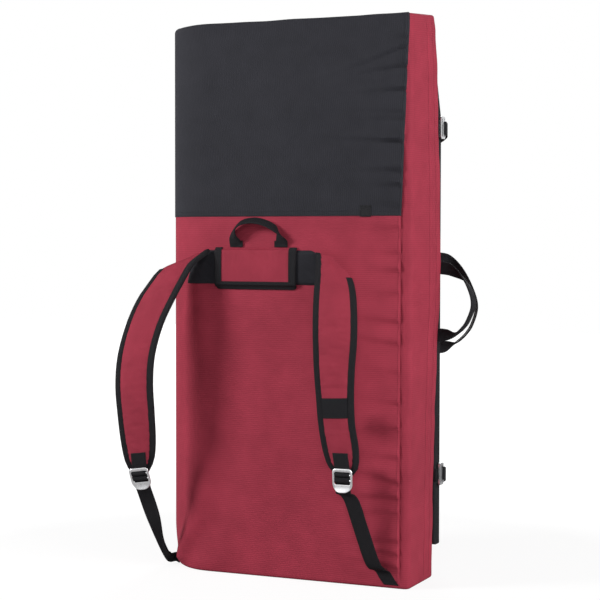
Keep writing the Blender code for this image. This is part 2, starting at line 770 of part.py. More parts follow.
class Strap:
    """One shoulder strap's surface, read down its rows and across its width."""

    def __init__(self, shares):
        first = HARNESS_X + shares[0][0] * STRAP_LENGTH
        seat = face_point(first, HARNESS_TOP_Z, yoke_front() + 2 * FIT_GAP + self.half_edge())
        inner = []
        outer = []
        for side, out, drop, outer_side, outer_out, outer_drop in shares:
            inner.append(self.place(seat, side, out, drop))
            outer.append(self.place(seat, outer_side, outer_out, outer_drop))
        inner = smooth_through(inner, STRAP_STEPS)
        outer = smooth_through(outer, STRAP_STEPS)
        middles = [(a + b) / 2 for a, b in zip(inner, outer)]
        reached = [0.0]
        for start, end in zip(middles, middles[1:]):
            reached.append(reached[-1] + (end - start).length)
        self.length = reached[-1]
        self.last = STRAP_ROWS
        self.inner = []
        self.outer = []
        for distance in spread(0.0, self.length, STRAP_ROWS + 1):
            k = max(i for i in range(len(reached) - 1) if reached[i] <= distance)
            t = (distance - reached[k]) / (reached[k + 1] - reached[k])
            self.inner.append(inner[k].lerp(inner[k + 1], t))
            self.outer.append(outer[k].lerp(outer[k + 1], t))

    @staticmethod
    def half_edge():
        """Half the strap's thickness at its bound edge."""
        return STRAP_EDGE + FIT_GAP + BINDING_WALL

    @staticmethod
    def place(seat, side, out, drop):
        x = HARNESS_X + side * STRAP_LENGTH
        return Vector((x, seat.y - out * STRAP_LENGTH, HARNESS_TOP_Z - drop * STRAP_LENGTH))

    def row(self, share):
        """Both edges at that share of the way down."""
        place = min(max(share, 0.0), 1.0) * self.last
        k = min(int(place), self.last - 1)
        t = place - k
        return self.inner[k].lerp(self.inner[k + 1], t), self.outer[k].lerp(self.outer[k + 1], t)

    def width(self, share):
        inner, outer = self.row(share)
        return (outer - inner).length

    def axes(self, share):
        """Directions at that share of the way down: across, down and out of the strap."""
        inner, outer = self.row(share)
        step = 1 / self.last
        above = sum(self.row(share - step), Vector())
        below = sum(self.row(share + step), Vector())
        across = (outer - inner).normalized()
        down = (below - above).normalized()
        down = (down - across * down.dot(across)).normalized()
        out = across.cross(down).normalized()
        if out.y > 0:
            out = -out
        return across, down, out

    def bound(self, share):
        """The share of the width that the tape covers at each edge."""
        return min(BINDING_REACH / self.width(share), 0.3)

    def rise(self, share, across_share):
        """Half the padding's thickness: thin in the bound edges and full in the middle."""
        bound = self.bound(share)
        middle = min(max((across_share - bound) / (1 - 2 * bound), 0.0), 1.0)
        to_end = (1 - share) * self.length / STRAP_END_FADE - 1
        from_top = share * self.length / STRAP_TOP_FADE
        fade = min(max(min(to_end, from_top), 0.0), 1.0)
        return STRAP_EDGE + STRAP_CROWN * fade * math.sin(math.pi * middle) ** 0.7

    def point(self, share, across_share, out):
        inner, outer = self.row(share)
        return inner.lerp(outer, across_share) + self.axes(share)[2] * out

    def columns(self, share):
        tuck = STRAP_TUCK / self.width(share)
        bound = self.bound(share)
        return (tuck, bound, bound + (0.5 - bound) / 2, 0.5, 1 - bound - (0.5 - bound) / 2, 1 - bound, 1 - tuck)


def make_strap_pad(name, strap):
    tuck = STRAP_TUCK / strap.length
    shares = spread(0.0, 1.0, strap.last + 1)
    shares[0] = tuck
    shares[-1] = 1 - tuck
    rows = []
    rises = []
    for share in shares:
        columns = strap.columns(share)
        rows.append([strap.point(share, column, 0.0) for column in columns])
        rises.append([strap.rise(share, column) for column in columns])
    sheet(
        name,
        rows,
        lambda i, j: 2 * rises[i][j],
        "red_canvas",
        lambda i, j: -rises[i][j],
        None,
        [strap.axes(share)[2] for share in shares],
    )


def make_strap_binding(name, strap):
    """Folded tape round the strap's edge, a channel that takes the padding's edge. On the outer
    edge it starts where the strap has turned away from the yoke."""
    half = Strap.half_edge()
    slot = half - BINDING_WALL
    last = strap.last
    path = [(k / last, 0.0, 0, 1) for k in range(last)]
    path += [(1.0, 0.0, 1, 1), (1.0, 0.5, 1, 0), (1.0, 1.0, 1, -1)]
    start = round(OUTER_BINDING_SHARE * last)
    path += [(k / last, 1.0, 0, -1) for k in range(last - 1, start - 1, -1)]
    rings = []
    for share, across_share, up, inwards in path:
        width = strap.width(share)
        reach = strap.bound(share) * width
        end_reach = min(reach, BINDING_REACH * 0.6)
        section = (
            (0.0, -half),
            (1.0, -half),
            (1.0, -slot),
            (None, -slot),
            (None, slot),
            (1.0, slot),
            (1.0, half),
            (0.0, half),
        )
        ring = []
        for part, out in section:
            side = BINDING_WALL if part is None else part * reach
            rise = BINDING_WALL if part is None else part * end_reach
            down_share = share - up * rise / strap.length
            cross_share = across_share + inwards * side / width
            ring.append(strap.point(down_share, cross_share, out))
        rings.append(ring)
    loft(name, rings, "black_webbing")


def make_strap_label(strap):
    """Woven label sewn across the right strap, left bare."""
    tall = STRAP_LABEL_HEIGHT / strap.length / 2
    low = STRAP_LABEL_SHARE - tall
    high = STRAP_LABEL_SHARE + tall
    shares = [k / strap.last for k in range(strap.last) if low < k / strap.last < high]
    shares = [low] + shares + [high]
    rows = []
    for share in shares:
        margin = strap.bound(share) + FIT_GAP * 4 / strap.width(share)
        columns = (margin, *strap.columns(share)[2:-2], 1 - margin)
        rows.append([strap.point(share, s, strap.rise(share, s) + 2 * FIT_GAP) for s in columns])
    sheet("strap_label", rows, LABEL_THICKNESS, "black_webbing", 0.0, Vector((0, -1, 0)))


class LockFrame:
    """Axes of a ladder-lock on its strap: a across, d down the strap and o out of it."""

    def __init__(self, strap):
        self.strap = strap
        self.place = 1 - LOCK_SET_BACK / strap.length
        self.across, self.down, self.out = strap.axes(self.place)
        if self.across.x < 0:
            self.across = -self.across
        self.surface = STRAP_EDGE + STRAP_CROWN
        self.origin = strap.point(self.place, 0.5, self.surface + LOCK_STAND)

    def point(self, a, d, o):
        return self.origin + self.across * a + self.down * d + self.out * o

    def on_strap(self, d, o):
        """A point above the lock's bar that follows the strap's own curve."""
        share = self.place + d / self.strap.length
        return self.strap.point(share, 0.5, self.surface + LOCK_STAND + o)


def arc_route(centre_d, centre_o, radius, start, end):
    """Points of a turn in a lock's side view, as (d, o)."""
    angles = spread(math.radians(start), math.radians(end), TURN_STEPS + 1)
    return [(centre_d + radius * math.cos(a), centre_o + radius * math.sin(a)) for a in angles]


def webbing(name, places, width=WEBBING_WIDTH, finish_name="black_webbing"):
    """Flat webbing whose middle runs through places, each a centre and a direction across."""
    rows = [[centre - across * width / 2, centre + across * width / 2] for centre, across in places]
    return sheet(name, rows, WEBBING_THICKNESS, finish_name, -WEBBING_THICKNESS / 2)


def bar_turn(bar, thickness):
    """Radius of webbing's middle as it turns round a bar."""
    return math.hypot(bar, thickness) / 2 + FIT_GAP + WEBBING_THICKNESS / 2


def make_stub(name, frame):
    """Short webbing sewn to the strap's end and folded round the lock's upper bar."""
    ply = WEBBING_THICKNESS + PLY_GAP
    back = -LOCK_STAND + FIT_GAP + WEBBING_THICKNESS / 2
    turn = bar_turn(LOCK_BAR, LOCK_THICKNESS)
    sewn = [(-STUB_LENGTH, back), (-STUB_LENGTH * 0.7, back), (-STUB_LENGTH * 0.4, back)]
    sewn += [(-turn * 1.8, back)]
    around = arc_route(0, 0, turn, -60, 90)
    slot = -(LOCK_BAR + LOCK_SLOT) / 2
    over = [(slot * 0.8, turn * 0.75), (slot, 0.0), (slot * 1.3, back + ply * 1.1)]
    over += [(-STUB_LENGTH * 0.4, back + ply), (-STUB_LENGTH * 0.7, back + ply)]
    over += [(-STUB_LENGTH, back + ply)]
    places = [(frame.on_strap(d, o), frame.across) for d, o in sewn]
    places += [(frame.point(0, d, o), frame.across) for d, o in around]
    places += [(frame.point(0, d, o), frame.across) for d, o in over[:3]]
    places += [(frame.on_strap(d, o), frame.across) for d, o in over[3:]]
    webbing(name, places)


def box_between(name, frame, a_size, d_range, o_size):
    """A cutter for a lock's window."""
    corners = ((-1, 0), (1, 0), (1, 1), (-1, 1))
    rings = [
        [frame.point(a * a_size / 2, d_range[side], o) for a, side in corners]
        for o in (-o_size / 2, o_size / 2)
    ]
    cutter = loft(name, rings, "black_webbing")
    cutter.hide_render = True
    cutter.display_type = "WIRE"
    return cutter


def rounded_plate(name, point, size_a, size_d, start_d, corners, thickness, finish_name):
    """A flat plate with rounded corners, in the axes of the given point function. The corners'
    radii are those at the start and at the far end."""
    route = []
    for sign_a, sign_d, start in ((1, 1, 0), (-1, 1, 90), (-1, -1, 180), (1, -1, 270)):
        corner = corners[1] if sign_d > 0 else corners[0]
        centre_a = sign_a * (size_a / 2 - corner)
        centre_d = start_d + size_d / 2 + sign_d * (size_d / 2 - corner)
        for step in range(7):
            angle = math.radians(start + 90 * step / 6)
            route.append((centre_a + corner * math.cos(angle), centre_d + corner * math.sin(angle)))
    rings = [[point(a, d, o) for a, d in route] for o in (-thickness / 2, thickness / 2)]
    return loft(name, rings, finish_name)


def cut(body, cutters):
    for cutter in cutters:
        step = body.modifiers.new(cutter.name, "BOOLEAN")
        step.operation = "DIFFERENCE"
        step.object = cutter


def lock_windows():
    """The lock's three openings, each as its start and end down from the first bar's middle."""
    slot_end = -LOCK_BAR / 2
    window = LOCK_BAR / 2
    low = window + LOCK_WINDOW + LOCK_BAR
    return (
        (slot_end - LOCK_SLOT, slot_end),
        (window, window + LOCK_WINDOW),
        (low, low + LOCK_LOW_WINDOW),
    )


def make_lock(name, frame):
    """Aluminium ladder-lock: a rounded plate with two bars across its opening and a broad lip."""
    windows = lock_windows()
    plate = rounded_plate(
        name,
        frame.point,
        LOCK_WIDTH,
        LOCK_HEIGHT,
        windows[0][0] - LOCK_TOP,
        (LOCK_TOP_CORNER, LOCK_LOW_CORNER),
        LOCK_THICKNESS,
        "brushed_aluminium",
    )
    cutters = [
        box_between(
            f"{name}_window_{k}", frame, LOCK_WINDOW_WIDTH, window, LOCK_THICKNESS + CUT_OVERRUN
        )
        for k, window in enumerate(windows)
    ]
    cut(plate, cutters)


def strap_fall(shares, lip, anchor):
    """Points of the free webbing between a lock's lip and the pad."""
    reach = (anchor - lip).length
    return [
        lip.lerp(anchor, way) + Vector((side * reach, -out * reach, 0)) for way, side, out in shares
    ]


def make_fall(name, frame, fall_shares, anchor_shares, tail_share):
    """Adjusting webbing: sewn to the pad's lower corner, up behind the lock's lip, over its middle
    bar and down behind itself as the tail."""
    (slot, slot_end), (upper, upper_end), (lower, lower_end) = lock_windows()
    half = WEBBING_THICKNESS / 2
    ply = WEBBING_THICKNESS + PLY_GAP
    front = LOCK_THICKNESS / 2 + PLY_GAP + half
    behind = -front
    tail_behind = behind - ply
    reach = WEBBING_WIDTH / 2
    anchors = []
    across = [frame.across, frame.across]
    for across_share, height_share, lift in anchor_shares:
        x = FOLD_X + across_share * NEAR_WIDTH
        anchors.append(face_point(x, height_share * PAD_HEIGHT, ANCHOR_LIFT * lift + half))
    tangents = [
        (face_point(p.x + reach, p.z, 0.0) - face_point(p.x - reach, p.z, 0.0)).normalized()
        for p in anchors
    ]
    across += [frame.across.lerp(tangents[0], share) for share in (0.35, 0.8)]
    lip = frame.point(0, slot - LOCK_TOP + LOCK_HEIGHT, behind)
    line = smooth_through([lip] + strap_fall(fall_shares, lip, anchors[0]) + anchors, 3)
    count = len(line) - 1
    turns = smooth_through(across + tangents, 3)
    main = [(point, turn.normalized()) for point, turn in zip(line, turns)]
    tail = []
    for k in range(int(count * tail_share), -1, -1):
        point, across = main[k]
        ahead = main[k + 1][0] - main[max(k - 1, 0)][0]
        normal = across.cross(ahead).normalized()
        if normal.dot(frame.out) > 0:
            normal = -normal
        away = ply + TAIL_SPREAD * min(k / count, 0.5)
        tail.append((point + normal * away, across))
    middle = (upper_end + lower) / 2
    clear = half + 2 * FIT_GAP
    loop = [
        (lower_end + LOCK_LOW_WINDOW * 0.4, behind),
        (lower_end - clear * 0.7, behind),
        (lower + LOCK_LOW_WINDOW * 0.45, behind * 0.1),
        (lower + half * 0.4, front),
        (middle, front),
        (upper_end - half * 0.4, front),
        (upper_end - clear * 1.5, behind * 0.1),
        (upper_end - clear * 0.9, tail_behind * 0.75),
        (upper_end + half, tail_behind),
        (lower_end, tail_behind),
    ]
    around = [(frame.point(0, d, o), frame.across) for d, o in reversed(loop)]
    webbing(name, tail + around + main)


# Closure flap


def flap_route():
    """The closed flap's middle line from above, from its free edge to its root."""
    points = [
        Vector((FOLD_X + NEAR_WIDTH + across * WIDTH_STEP, FOLD_Y + depth * HALF_DEPTH))
        for across, depth in FLAP_ROUTE_SHARES
    ]
    root_x = FOLD_X + FAR_WIDTH + FLAP_THICKNESS / 2 + FLAP_HINGE_CLEARANCE
    root_y = FOLD_Y + FLAP_ROOT_SHARE * HALF_DEPTH
    points.append(Vector((root_x, root_y)))
    return smooth_through(points, FLAP_STEPS)


def flap_length():
    route = flap_route()
    return sum((b - a).length for a, b in zip(route, route[1:]))


def flap_place(distance, z, out):
    """A point that far along the flap from its free edge and out from its middle."""
    point, direction = along(flap_route(), distance)
    away = Vector((direction.y, -direction.x))
    moved = point + away * out
    tuck = max((z - FLAP_TUCK_Z) / (FLAP_TOP_Z - FLAP_TUCK_Z), 0.0)
    moved.x -= FLAP_TUCK * tuck * (1 - distance / flap_length())
    return Vector((moved.x, moved.y, z)), Vector((away.x, away.y, 0))


def flap_levels():
    """Heights of the flap's rows, with how far each one's free edge is rounded off."""
    corner = [(FLAP_CORNER * (1 - math.cos(a)), FLAP_CORNER * (1 - math.sin(a))) for a in
              (0, math.pi / 6, math.pi / 3, math.pi / 2)]
    levels = [(FLAP_LOW_Z + rise, pull) for rise, pull in corner]
    middle = spread(FLAP_LOW_Z + FLAP_CORNER, FLAP_TUCK_Z, 8)[1:]
    levels += [(z, 0.0) for z in middle]
    levels += [(FLAP_TOP_Z - rise, pull) for rise, pull in reversed(corner)]
    return levels


def make_flap():
    """Padded closure flap from the far half's side to the near half's rear edge."""
    length = flap_length()
    steps = 4 * FLAP_STEPS
    rows = []
    for z, pull in flap_levels():
        rows.append([flap_place(d, z, 0.0)[0] for d in spread(pull, length, steps + 1)])
    sides = Vector((1, 0, 0))
    sheet("closure_flap", rows, FLAP_THICKNESS, "red_canvas", -FLAP_THICKNESS / 2, sides)


def make_flap_binding():
    """Black tape folded round the flap's free edge."""
    slot = FLAP_THICKNESS / 2 + FLAP_SLOT_GAP
    half = slot + FLAP_BINDING_WALL
    distances = spread(0.0, FLAP_BINDING, 5)
    section = [(d, half) for d in reversed(distances)]
    section[-1] = (-FLAP_SLOT_GAP - FLAP_BINDING_WALL, half)
    section += [(-FLAP_SLOT_GAP - FLAP_BINDING_WALL, -half)]
    section += [(d, -half) for d in distances[1:]]
    section += [(d, -slot) for d in reversed(distances[1:])]
    section += [(-FLAP_SLOT_GAP, -slot), (-FLAP_SLOT_GAP, slot)]
    section += [(d, slot) for d in distances[1:]]
    route = flap_route()
    direction = along(route, 0.0)[1]
    rings = []
    for z, pull in flap_levels():
        if pull > FLAP_CORNER / 2:
            continue
        ring = []
        for d, out in section:
            base = flap_place(max(d, 0.0) + pull, z, out)[0]
            ring.append(base + Vector((direction.x, direction.y, 0)) * min(d, 0.0))
        rings.append(ring)
    loft("flap_binding", rings, "black_webbing")


def make_closure(level, z):
    """One closure: webbing along the flap, an aluminium hook on its end, and the near half's tab."""
    bar = HOOK_SET_BACK + HOOK_LENGTH - HOOK_BAR / 2
    surface = FLAP_THICKNESS / 2 + FLAP_SLOT_GAP + FLAP_BINDING_WALL
    stand = surface + HOOK_STAND
    base, away = flap_place(bar, z, stand)
    front = flap_place(HOOK_SET_BACK, z, stand)[0]
    forward = (front - base).normalized()
    away = Vector((-forward.y, forward.x, 0))
    if away.x < 0:
        away = -away
    upright = Vector((0, 0, 1))

    def point(a, d, o):
        return base + upright * a + forward * d + away * o

    plate = rounded_plate(
        "closure_hook_" + level,
        point,
        HOOK_HEIGHT,
        HOOK_LENGTH,
        -HOOK_BAR / 2,
        (HOOK_CORNER, HOOK_CORNER),
        HOOK_THICKNESS,
        "brushed_aluminium",
    )
    cutters = []
    wide = HOOK_HEIGHT - 2 * HOOK_BAR
    for k, low in enumerate((HOOK_BAR / 2, HOOK_BAR * 1.5 + HOOK_WINDOW)):
        corners = ((-1, low), (1, low), (1, low + HOOK_WINDOW), (-1, low + HOOK_WINDOW))
        deep = (HOOK_THICKNESS + CUT_OVERRUN) / 2
        rings = [[point(a * wide / 2, d, o) for a, d in corners] for o in (-deep, deep)]
        cutter = loft(f"closure_hook_{level}_window_{k}", rings, "black_webbing")
        cutter.hide_render = True
        cutter.display_type = "WIRE"
        cutters.append(cutter)
    cut(plate, cutters)

    half = WEBBING_THICKNESS / 2
    turn = bar_turn(HOOK_BAR, HOOK_THICKNESS)
    lie = FLAP_THICKNESS / 2 + FIT_GAP + half
    sewn = [flap_place(d, z, lie)[0] for d in spread(bar + CLOSURE_SEWN, bar + turn * 1.5, 6)]
    around = []
    for angle in spread(-70, 90, TURN_STEPS + 1):
        a = math.radians(angle)
        around.append(point(0, turn * math.cos(a), turn * math.sin(a)))
    tail = []
    for share, rise in CLOSURE_TAIL_SHARES:
        out = lie + WEBBING_THICKNESS + PLY_GAP + (HOOK_STAND + CLOSURE_TAIL_RISE) * rise
        place = flap_place(bar + turn + CLOSURE_TAIL * share, z, out)[0]
        tail.append(place - upright * CLOSURE_TAIL_DROP * share)
    webbing("closure_strap_" + level, [(p, upright) for p in sewn + around + tail])

    side_x = FOLD_X + NEAR_WIDTH
    tab_y = FOLD_Y - HALF_GAP / 2 + FIT_GAP + half
    swell = SIDE_SWELL * side_fullness(z)
    tip = point(0, HOOK_LENGTH - HOOK_BAR / 2, 0)
    ends = (
        Vector((side_x - TAB_INSIDE, tab_y, z)),
        Vector((side_x - TAB_INSIDE / 2, tab_y, z)),
        Vector((max(side_x, tip.x), tab_y, z)),
    )
    webbing("closure_tab_" + level, [(p, upright) for p in ends])


# Side carry handles


def make_side_handle(name, root, top_z, low_z, reach, outwards, low_inset=0.0):
    """A webbing loop whose ends lie along the seam and whose grip is turned across it."""
    centres = []
    turns = []
    for (out, drop), turn in zip(HANDLE_ROUTE_SHARES, HANDLE_TURN_SHARES):
        z = top_z + (low_z - top_z) * drop
        centres.append(Vector((root.x, root.y, z)) + outwards * (reach * out - low_inset * drop))
        turns.append(Vector((turn, 0, 0)))
    centres = smooth_through(centres, 3)
    turns = smooth_through(turns, 3)
    upright = Vector((0, 0, 1))
    sideways = outwards.cross(upright).normalized()
    rows = []
    for centre, turn in zip(centres, turns):
        angle = turn.x * math.pi / 2
        across = (upright * math.cos(angle) + sideways * math.sin(angle)) * WEBBING_WIDTH / 2
        rows.append([centre - across, centre + across])
    handle_sheet(name, rows, HANDLE_THICKNESS)


def main():
    for item in list(bpy.data.objects):
        bpy.data.objects.remove(item)
    for half, width, swell in (("near", NEAR_WIDTH, SIDE_SWELL), ("far", FAR_WIDTH, 0.0)):
        make_cover(half, width, swell)
        make_foam_stack(half, width)
        make_upper_panel(half, width, swell)
        make_zip(half, width)
    make_fold_web()
    make_sleeve()
    make_yoke()
    make_pad_label()
    make_haul_handle()
    for side, shares, fall, anchors, tail in (
        ("right", RIGHT_STRAP_SHARES, RIGHT_FALL_SHARES, RIGHT_ANCHOR_SHARES, RIGHT_TAIL_SHARE),
        ("left", LEFT_STRAP_SHARES, LEFT_FALL_SHARES, LEFT_ANCHOR_SHARES, LEFT_TAIL_SHARE),
    ):
        strap = Strap(shares)
        make_strap_pad("strap_pad_" + side, strap)
        make_strap_binding("strap_binding_" + side, strap)
        frame = LockFrame(strap)
        make_stub("lock_stub_" + side, frame)
        make_lock("ladder_lock_" + side, frame)
        make_fall("lower_webbing_" + side, frame, fall, anchors, tail)
        if side == "right":
            make_strap_label(strap)
    make_flap()
    make_flap_binding()
    for level, z in (("upper", HOOK_UPPER_Z), ("lower", HOOK_LOWER_Z)):
        make_closure(level, z)
    middle_z = (NEAR_HANDLE_TOP_Z + NEAR_HANDLE_LOW_Z) / 2
    edge_x = FOLD_X + NEAR_WIDTH + SIDE_SWELL * fullness(middle_z)
    near_root = Vector((edge_x - NEAR_HANDLE_INSET, FOLD_Y + NEAR_HANDLE_STAND, 0))
    outwards = Vector((1, 0, 0))
    make_side_handle(
        "near_handle",
        near_root,
        NEAR_HANDLE_TOP_Z,
        NEAR_HANDLE_LOW_Z,
        NEAR_HANDLE_REACH,
        outwards,
        NEAR_HANDLE_LOW_INSET,
    )
    distance = flap_length() * FAR_HANDLE_SHARE
    root, away = flap_place(distance, 0, FLAP_THICKNESS / 2 + SEWN_GAP)
    make_side_handle(
        "far_handle", root, FAR_HANDLE_TOP_Z, FAR_HANDLE_LOW_Z, FAR_HANDLE_REACH, away
    )


main()
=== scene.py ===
"""A folded bouldering crash pad, stood on end with its carrying harness to the front.

The sections follow the pad as it is put together: foam, covers, fold web, zips, harness, straps,
buckles, closure flap and carry handles. Lengths are in metres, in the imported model's own frame.
"""

import math

import bmesh
import bpy
from mathutils import Matrix, Vector, noise


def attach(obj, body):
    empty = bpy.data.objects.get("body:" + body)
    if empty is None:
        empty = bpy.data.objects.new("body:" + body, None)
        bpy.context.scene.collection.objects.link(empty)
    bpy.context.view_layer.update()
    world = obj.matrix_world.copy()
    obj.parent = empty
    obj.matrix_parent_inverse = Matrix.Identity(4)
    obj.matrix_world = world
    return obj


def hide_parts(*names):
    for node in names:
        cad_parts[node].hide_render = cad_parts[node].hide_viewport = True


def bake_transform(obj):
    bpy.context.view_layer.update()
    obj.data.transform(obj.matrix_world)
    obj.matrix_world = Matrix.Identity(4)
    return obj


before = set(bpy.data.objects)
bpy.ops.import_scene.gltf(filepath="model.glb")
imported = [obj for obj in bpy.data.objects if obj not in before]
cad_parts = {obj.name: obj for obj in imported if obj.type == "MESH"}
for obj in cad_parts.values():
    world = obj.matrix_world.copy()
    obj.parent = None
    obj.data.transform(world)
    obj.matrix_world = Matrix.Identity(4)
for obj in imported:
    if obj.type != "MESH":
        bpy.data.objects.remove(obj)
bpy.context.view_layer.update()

# Camera at the photograph's angle, below the top edge and well to the right of the harness.
camera_place = Vector((1.27847, -2.84841, 0.64127))
camera_aim = Vector((-0.40443, 0.91381, -0.03737))
camera_roll = 0.0955
camera_lens = 97.77
camera_sensor = 36


def add_object(name, data):
    thing = bpy.data.objects.new(name, data)
    bpy.context.scene.collection.objects.link(thing)
    return thing


def point_along(thing, direction, roll=0.0):
    """Turns a camera or a lamp to look that way."""
    aim = direction.to_track_quat("-Z", "Y").to_matrix() @ Matrix.Rotation(math.radians(roll), 3, "Z")
    thing.rotation_mode = "QUATERNION"
    thing.rotation_quaternion = aim.to_quaternion()


camera = add_object("camera", bpy.data.cameras.new("camera"))
camera.data.sensor_width = camera_sensor
camera.data.lens = camera_lens
camera.location = camera_place
point_along(camera, camera_aim, camera_roll)
bpy.context.scene.camera = camera
bpy.context.scene.view_settings.view_transform = "Standard"

# Studio light: a lamp to the left and in front, whose shadows of the straps fall to the right, a
# broad soft box on the camera's side, and an even white room.
pad_middle = Vector((0.0, 0.05, 0.5))
room_light = 0.02
room_gloss = 0.8
white = (1, 1, 1, 1)


def soft_box(name, towards, distance, size, power):
    lamp = add_object(name, bpy.data.lights.new(name, "AREA"))
    lamp.data.shape = "DISK"
    lamp.data.size = size
    lamp.data.energy = power
    direction = Vector(towards).normalized()
    lamp.location = pad_middle + direction * distance
    point_along(lamp, -direction)
    return lamp


key_lamp = soft_box("lamp_left", (-0.78, -0.62, 0.4), 3.2, 0.9, 89)
soft_box("lamp_right", (1.0, -0.2, 0.3), 3.4, 1.8, 96)
soft_box("lamp_front", (0.4, -0.92, 0.3), 3.4, 1.6, 28)
soft_box("lamp_back", (-0.3, 1.0, 0.5), 3.6, 2.0, 60)


def add_node(tree, kind, inputs=None, **settings):
    """A shader node. Each input is given a socket to join or a plain value."""
    node = tree.nodes.new("ShaderNode" + kind)
    for setting, value in settings.items():
        setattr(node, setting, value)
    for place, value in (inputs or {}).items():
        if isinstance(value, bpy.types.NodeSocket):
            tree.links.new(value, node.inputs[place])
        else:
            node.inputs[place].default_value = value
    return node


def maths(tree, operation, *values):
    """The result of a Math node on sockets or numbers."""
    return add_node(tree, "Math", dict(enumerate(values)), operation=operation).outputs[0]


world = bpy.data.worlds.new("white_room")
world.use_nodes = True
bpy.context.scene.world = world
tree = world.node_tree
tree.nodes.clear()
room = add_node(tree, "Background", {"Color": white, "Strength": room_light})
seen = add_node(tree, "Background", {"Color": white, "Strength": 1.0})
rays = add_node(tree, "LightPath").outputs
share = maths(tree, "MAXIMUM", rays["Is Camera Ray"], rays["Is Transmission Ray"])
share = maths(tree, "MAXIMUM", share, maths(tree, "MULTIPLY", rays["Is Glossy Ray"], room_gloss))
mix = add_node(tree, "MixShader", {0: share, 1: room.outputs[0], 2: seen.outputs[0]})
add_node(tree, "OutputWorld", {"Surface": mix.outputs[0]})

# Pale floor that meets the white behind it and keeps the pad's shadow.
floor_half = 8.0
floor_colour = (0.45, 0.45, 0.45, 1)
floor_share = 0.7
floor_glow = 1.24
floor_near = 0.7
floor_far = 1.6
floor = add_object("floor", bpy.data.meshes.new("floor"))
corners = [(x * floor_half, y * floor_half, 0) for x, y in ((-1, -1), (1, -1), (1, 1), (-1, 1))]
floor.data.from_pydata(corners, [], [(0, 1, 2, 3)])
pale = bpy.data.materials.new("pale_floor")
pale.use_nodes = True
tree = pale.node_tree
plain = tree.nodes["Principled BSDF"]
plain.inputs["Base Color"].default_value = floor_colour
plain.inputs["Roughness"].default_value = 0.9
plain.inputs["Specular IOR Level"].default_value = 0.0
glow = add_node(tree, "Emission", {"Strength": floor_glow})
reach = add_node(tree, "VectorMath", {0: add_node(tree, "TexCoord").outputs["Object"]}, operation="LENGTH")
fade_range = {"From Min": floor_near, "From Max": floor_far, "To Min": floor_share, "To Max": 1.0}
fade = add_node(tree, "MapRange", {"Value": reach.outputs["Value"], **fade_range})
rays = add_node(tree, "LightPath").outputs
share = maths(tree, "MULTIPLY", rays["Is Camera Ray"], fade.outputs["Result"])
mix = add_node(tree, "MixShader", {0: share, 1: plain.outputs[0], 2: glow.outputs[0]})
tree.links.new(mix.outputs[0], tree.nodes["Material Output"].inputs["Surface"])
floor.data.materials.append(pale)

# Foam. Each half holds a thick open-cell core between a thin landing sheet and a thin base sheet,
# all closed-cell but the core, cut to the inside of the cover.
pad_height = 1.05
near_width = 0.53
far_width = 0.47
pad_width = {"near": near_width, "far": far_width}
half_depth = 0.13
fold_radius = 0.118
edge_radius = 0.013
rear_radius = 0.006
hinge_radius = 0.004
least_radius = 0.001
half_gap = 0.0024
hinge_clearance = 0.0015
fold_x = -near_width / 2
fold_y = half_depth / 2
face_start = hinge_clearance + fold_radius
outline_arcs = (3, 4, 7, 26)
outline_lines = (40, 44, 70, 2)
face_growth = 0.045
low_corner = 0.085
low_corner_draw = 0.017
cover_wall = 0.0015
fit_gap = 0.0003
foam_seat = cover_wall + fit_gap
foam_end = 0.0078
foam_levels = (foam_end, 0.02, 0.035, 0.055, low_corner, pad_height - foam_end)
foam_arcs = (2, 2, 3, 14)
foam_lines = (2, 2, 2, 2)
foam_ease = 0.0015
landing_foam = 0.012
base_foam = 0.010
grey_foam = (0.07, 0.075, 0.085)
grey_cell = 0.0012
pale_foam = (0.55, 0.56, 0.5)
pale_cell = 0.0022


def pad_point(half, u, v, z):
    """A point at u from the fold line and v from the fold plane, in the near or the far half."""
    side = -1 if half == "near" else 1
    return Vector((fold_x + u, fold_y + side * v, z))


def pad_outline(half, inset, arc_steps=outline_arcs, line_steps=outline_lines):
    """One half's outline from above: u, v, and the way out of it as the last two numbers."""
    low_u = hinge_clearance + inset
    high_u = pad_width[half] - inset
    low_v = half_gap / 2 + inset
    high_v = half_depth - inset
    corners = ((low_u, low_v, hinge_radius), (high_u, low_v, rear_radius))
    corners += ((high_u, high_v, edge_radius), (low_u, high_v, fold_radius))
    arcs = []
    for k, (u, v, radius) in enumerate(corners):
        radius = max(radius - inset, least_radius)
        centre_u = u + radius if u == low_u else u - radius
        centre_v = v + radius if v == low_v else v - radius
        arc = []
        for step in range(arc_steps[k] + 1):
            angle = math.radians(180 + 90 * k + 90 * step / arc_steps[k])
            away = (math.cos(angle), math.sin(angle))
            arc.append((centre_u + radius * away[0], centre_v + radius * away[1], *away))
        arcs.append(arc)
    places = []
    for k, (arc, steps) in enumerate(zip(arcs, line_steps)):
        places += arc
        start, end = arc[-1], arcs[(k + 1) % 4][0]
        for step in range(1, steps):
            share = step / steps
            if k == 2 and steps > 2:
                share = math.expm1(face_growth * step) / math.expm1(face_growth * steps)
            u = start[0] + (end[0] - start[0]) * share
            v = start[1] + (end[1] - start[1]) * share
            places.append((u, v, start[2], start[3]))
    return places


def drawn_in(u, z):
    """The way from the fold line once the end's seam has pulled the fold's lower corner round."""
    round_share = max((face_start - u) / fold_radius, 0.0)
    low = max(1 - z / low_corner, 0.0)
    return u + low_corner_draw * low**2 * round_share**2


def join_rings(shape, rings, closed=False):
    """Quads between each two rings of points, and a face over each end unless the last meets the first."""
    grid = [[shape.verts.new(point) for point in ring] for ring in rings]
    after = grid[1:] + (grid[:1] if closed else [])
    for first, second in zip(grid, after):
        for k in range(len(first)):
            j = (k + 1) % len(first)
            shape.faces.new((first[k], first[j], second[j], second[k]))
    if not closed:
        shape.faces.new(grid[0])
        shape.faces.new(grid[-1])


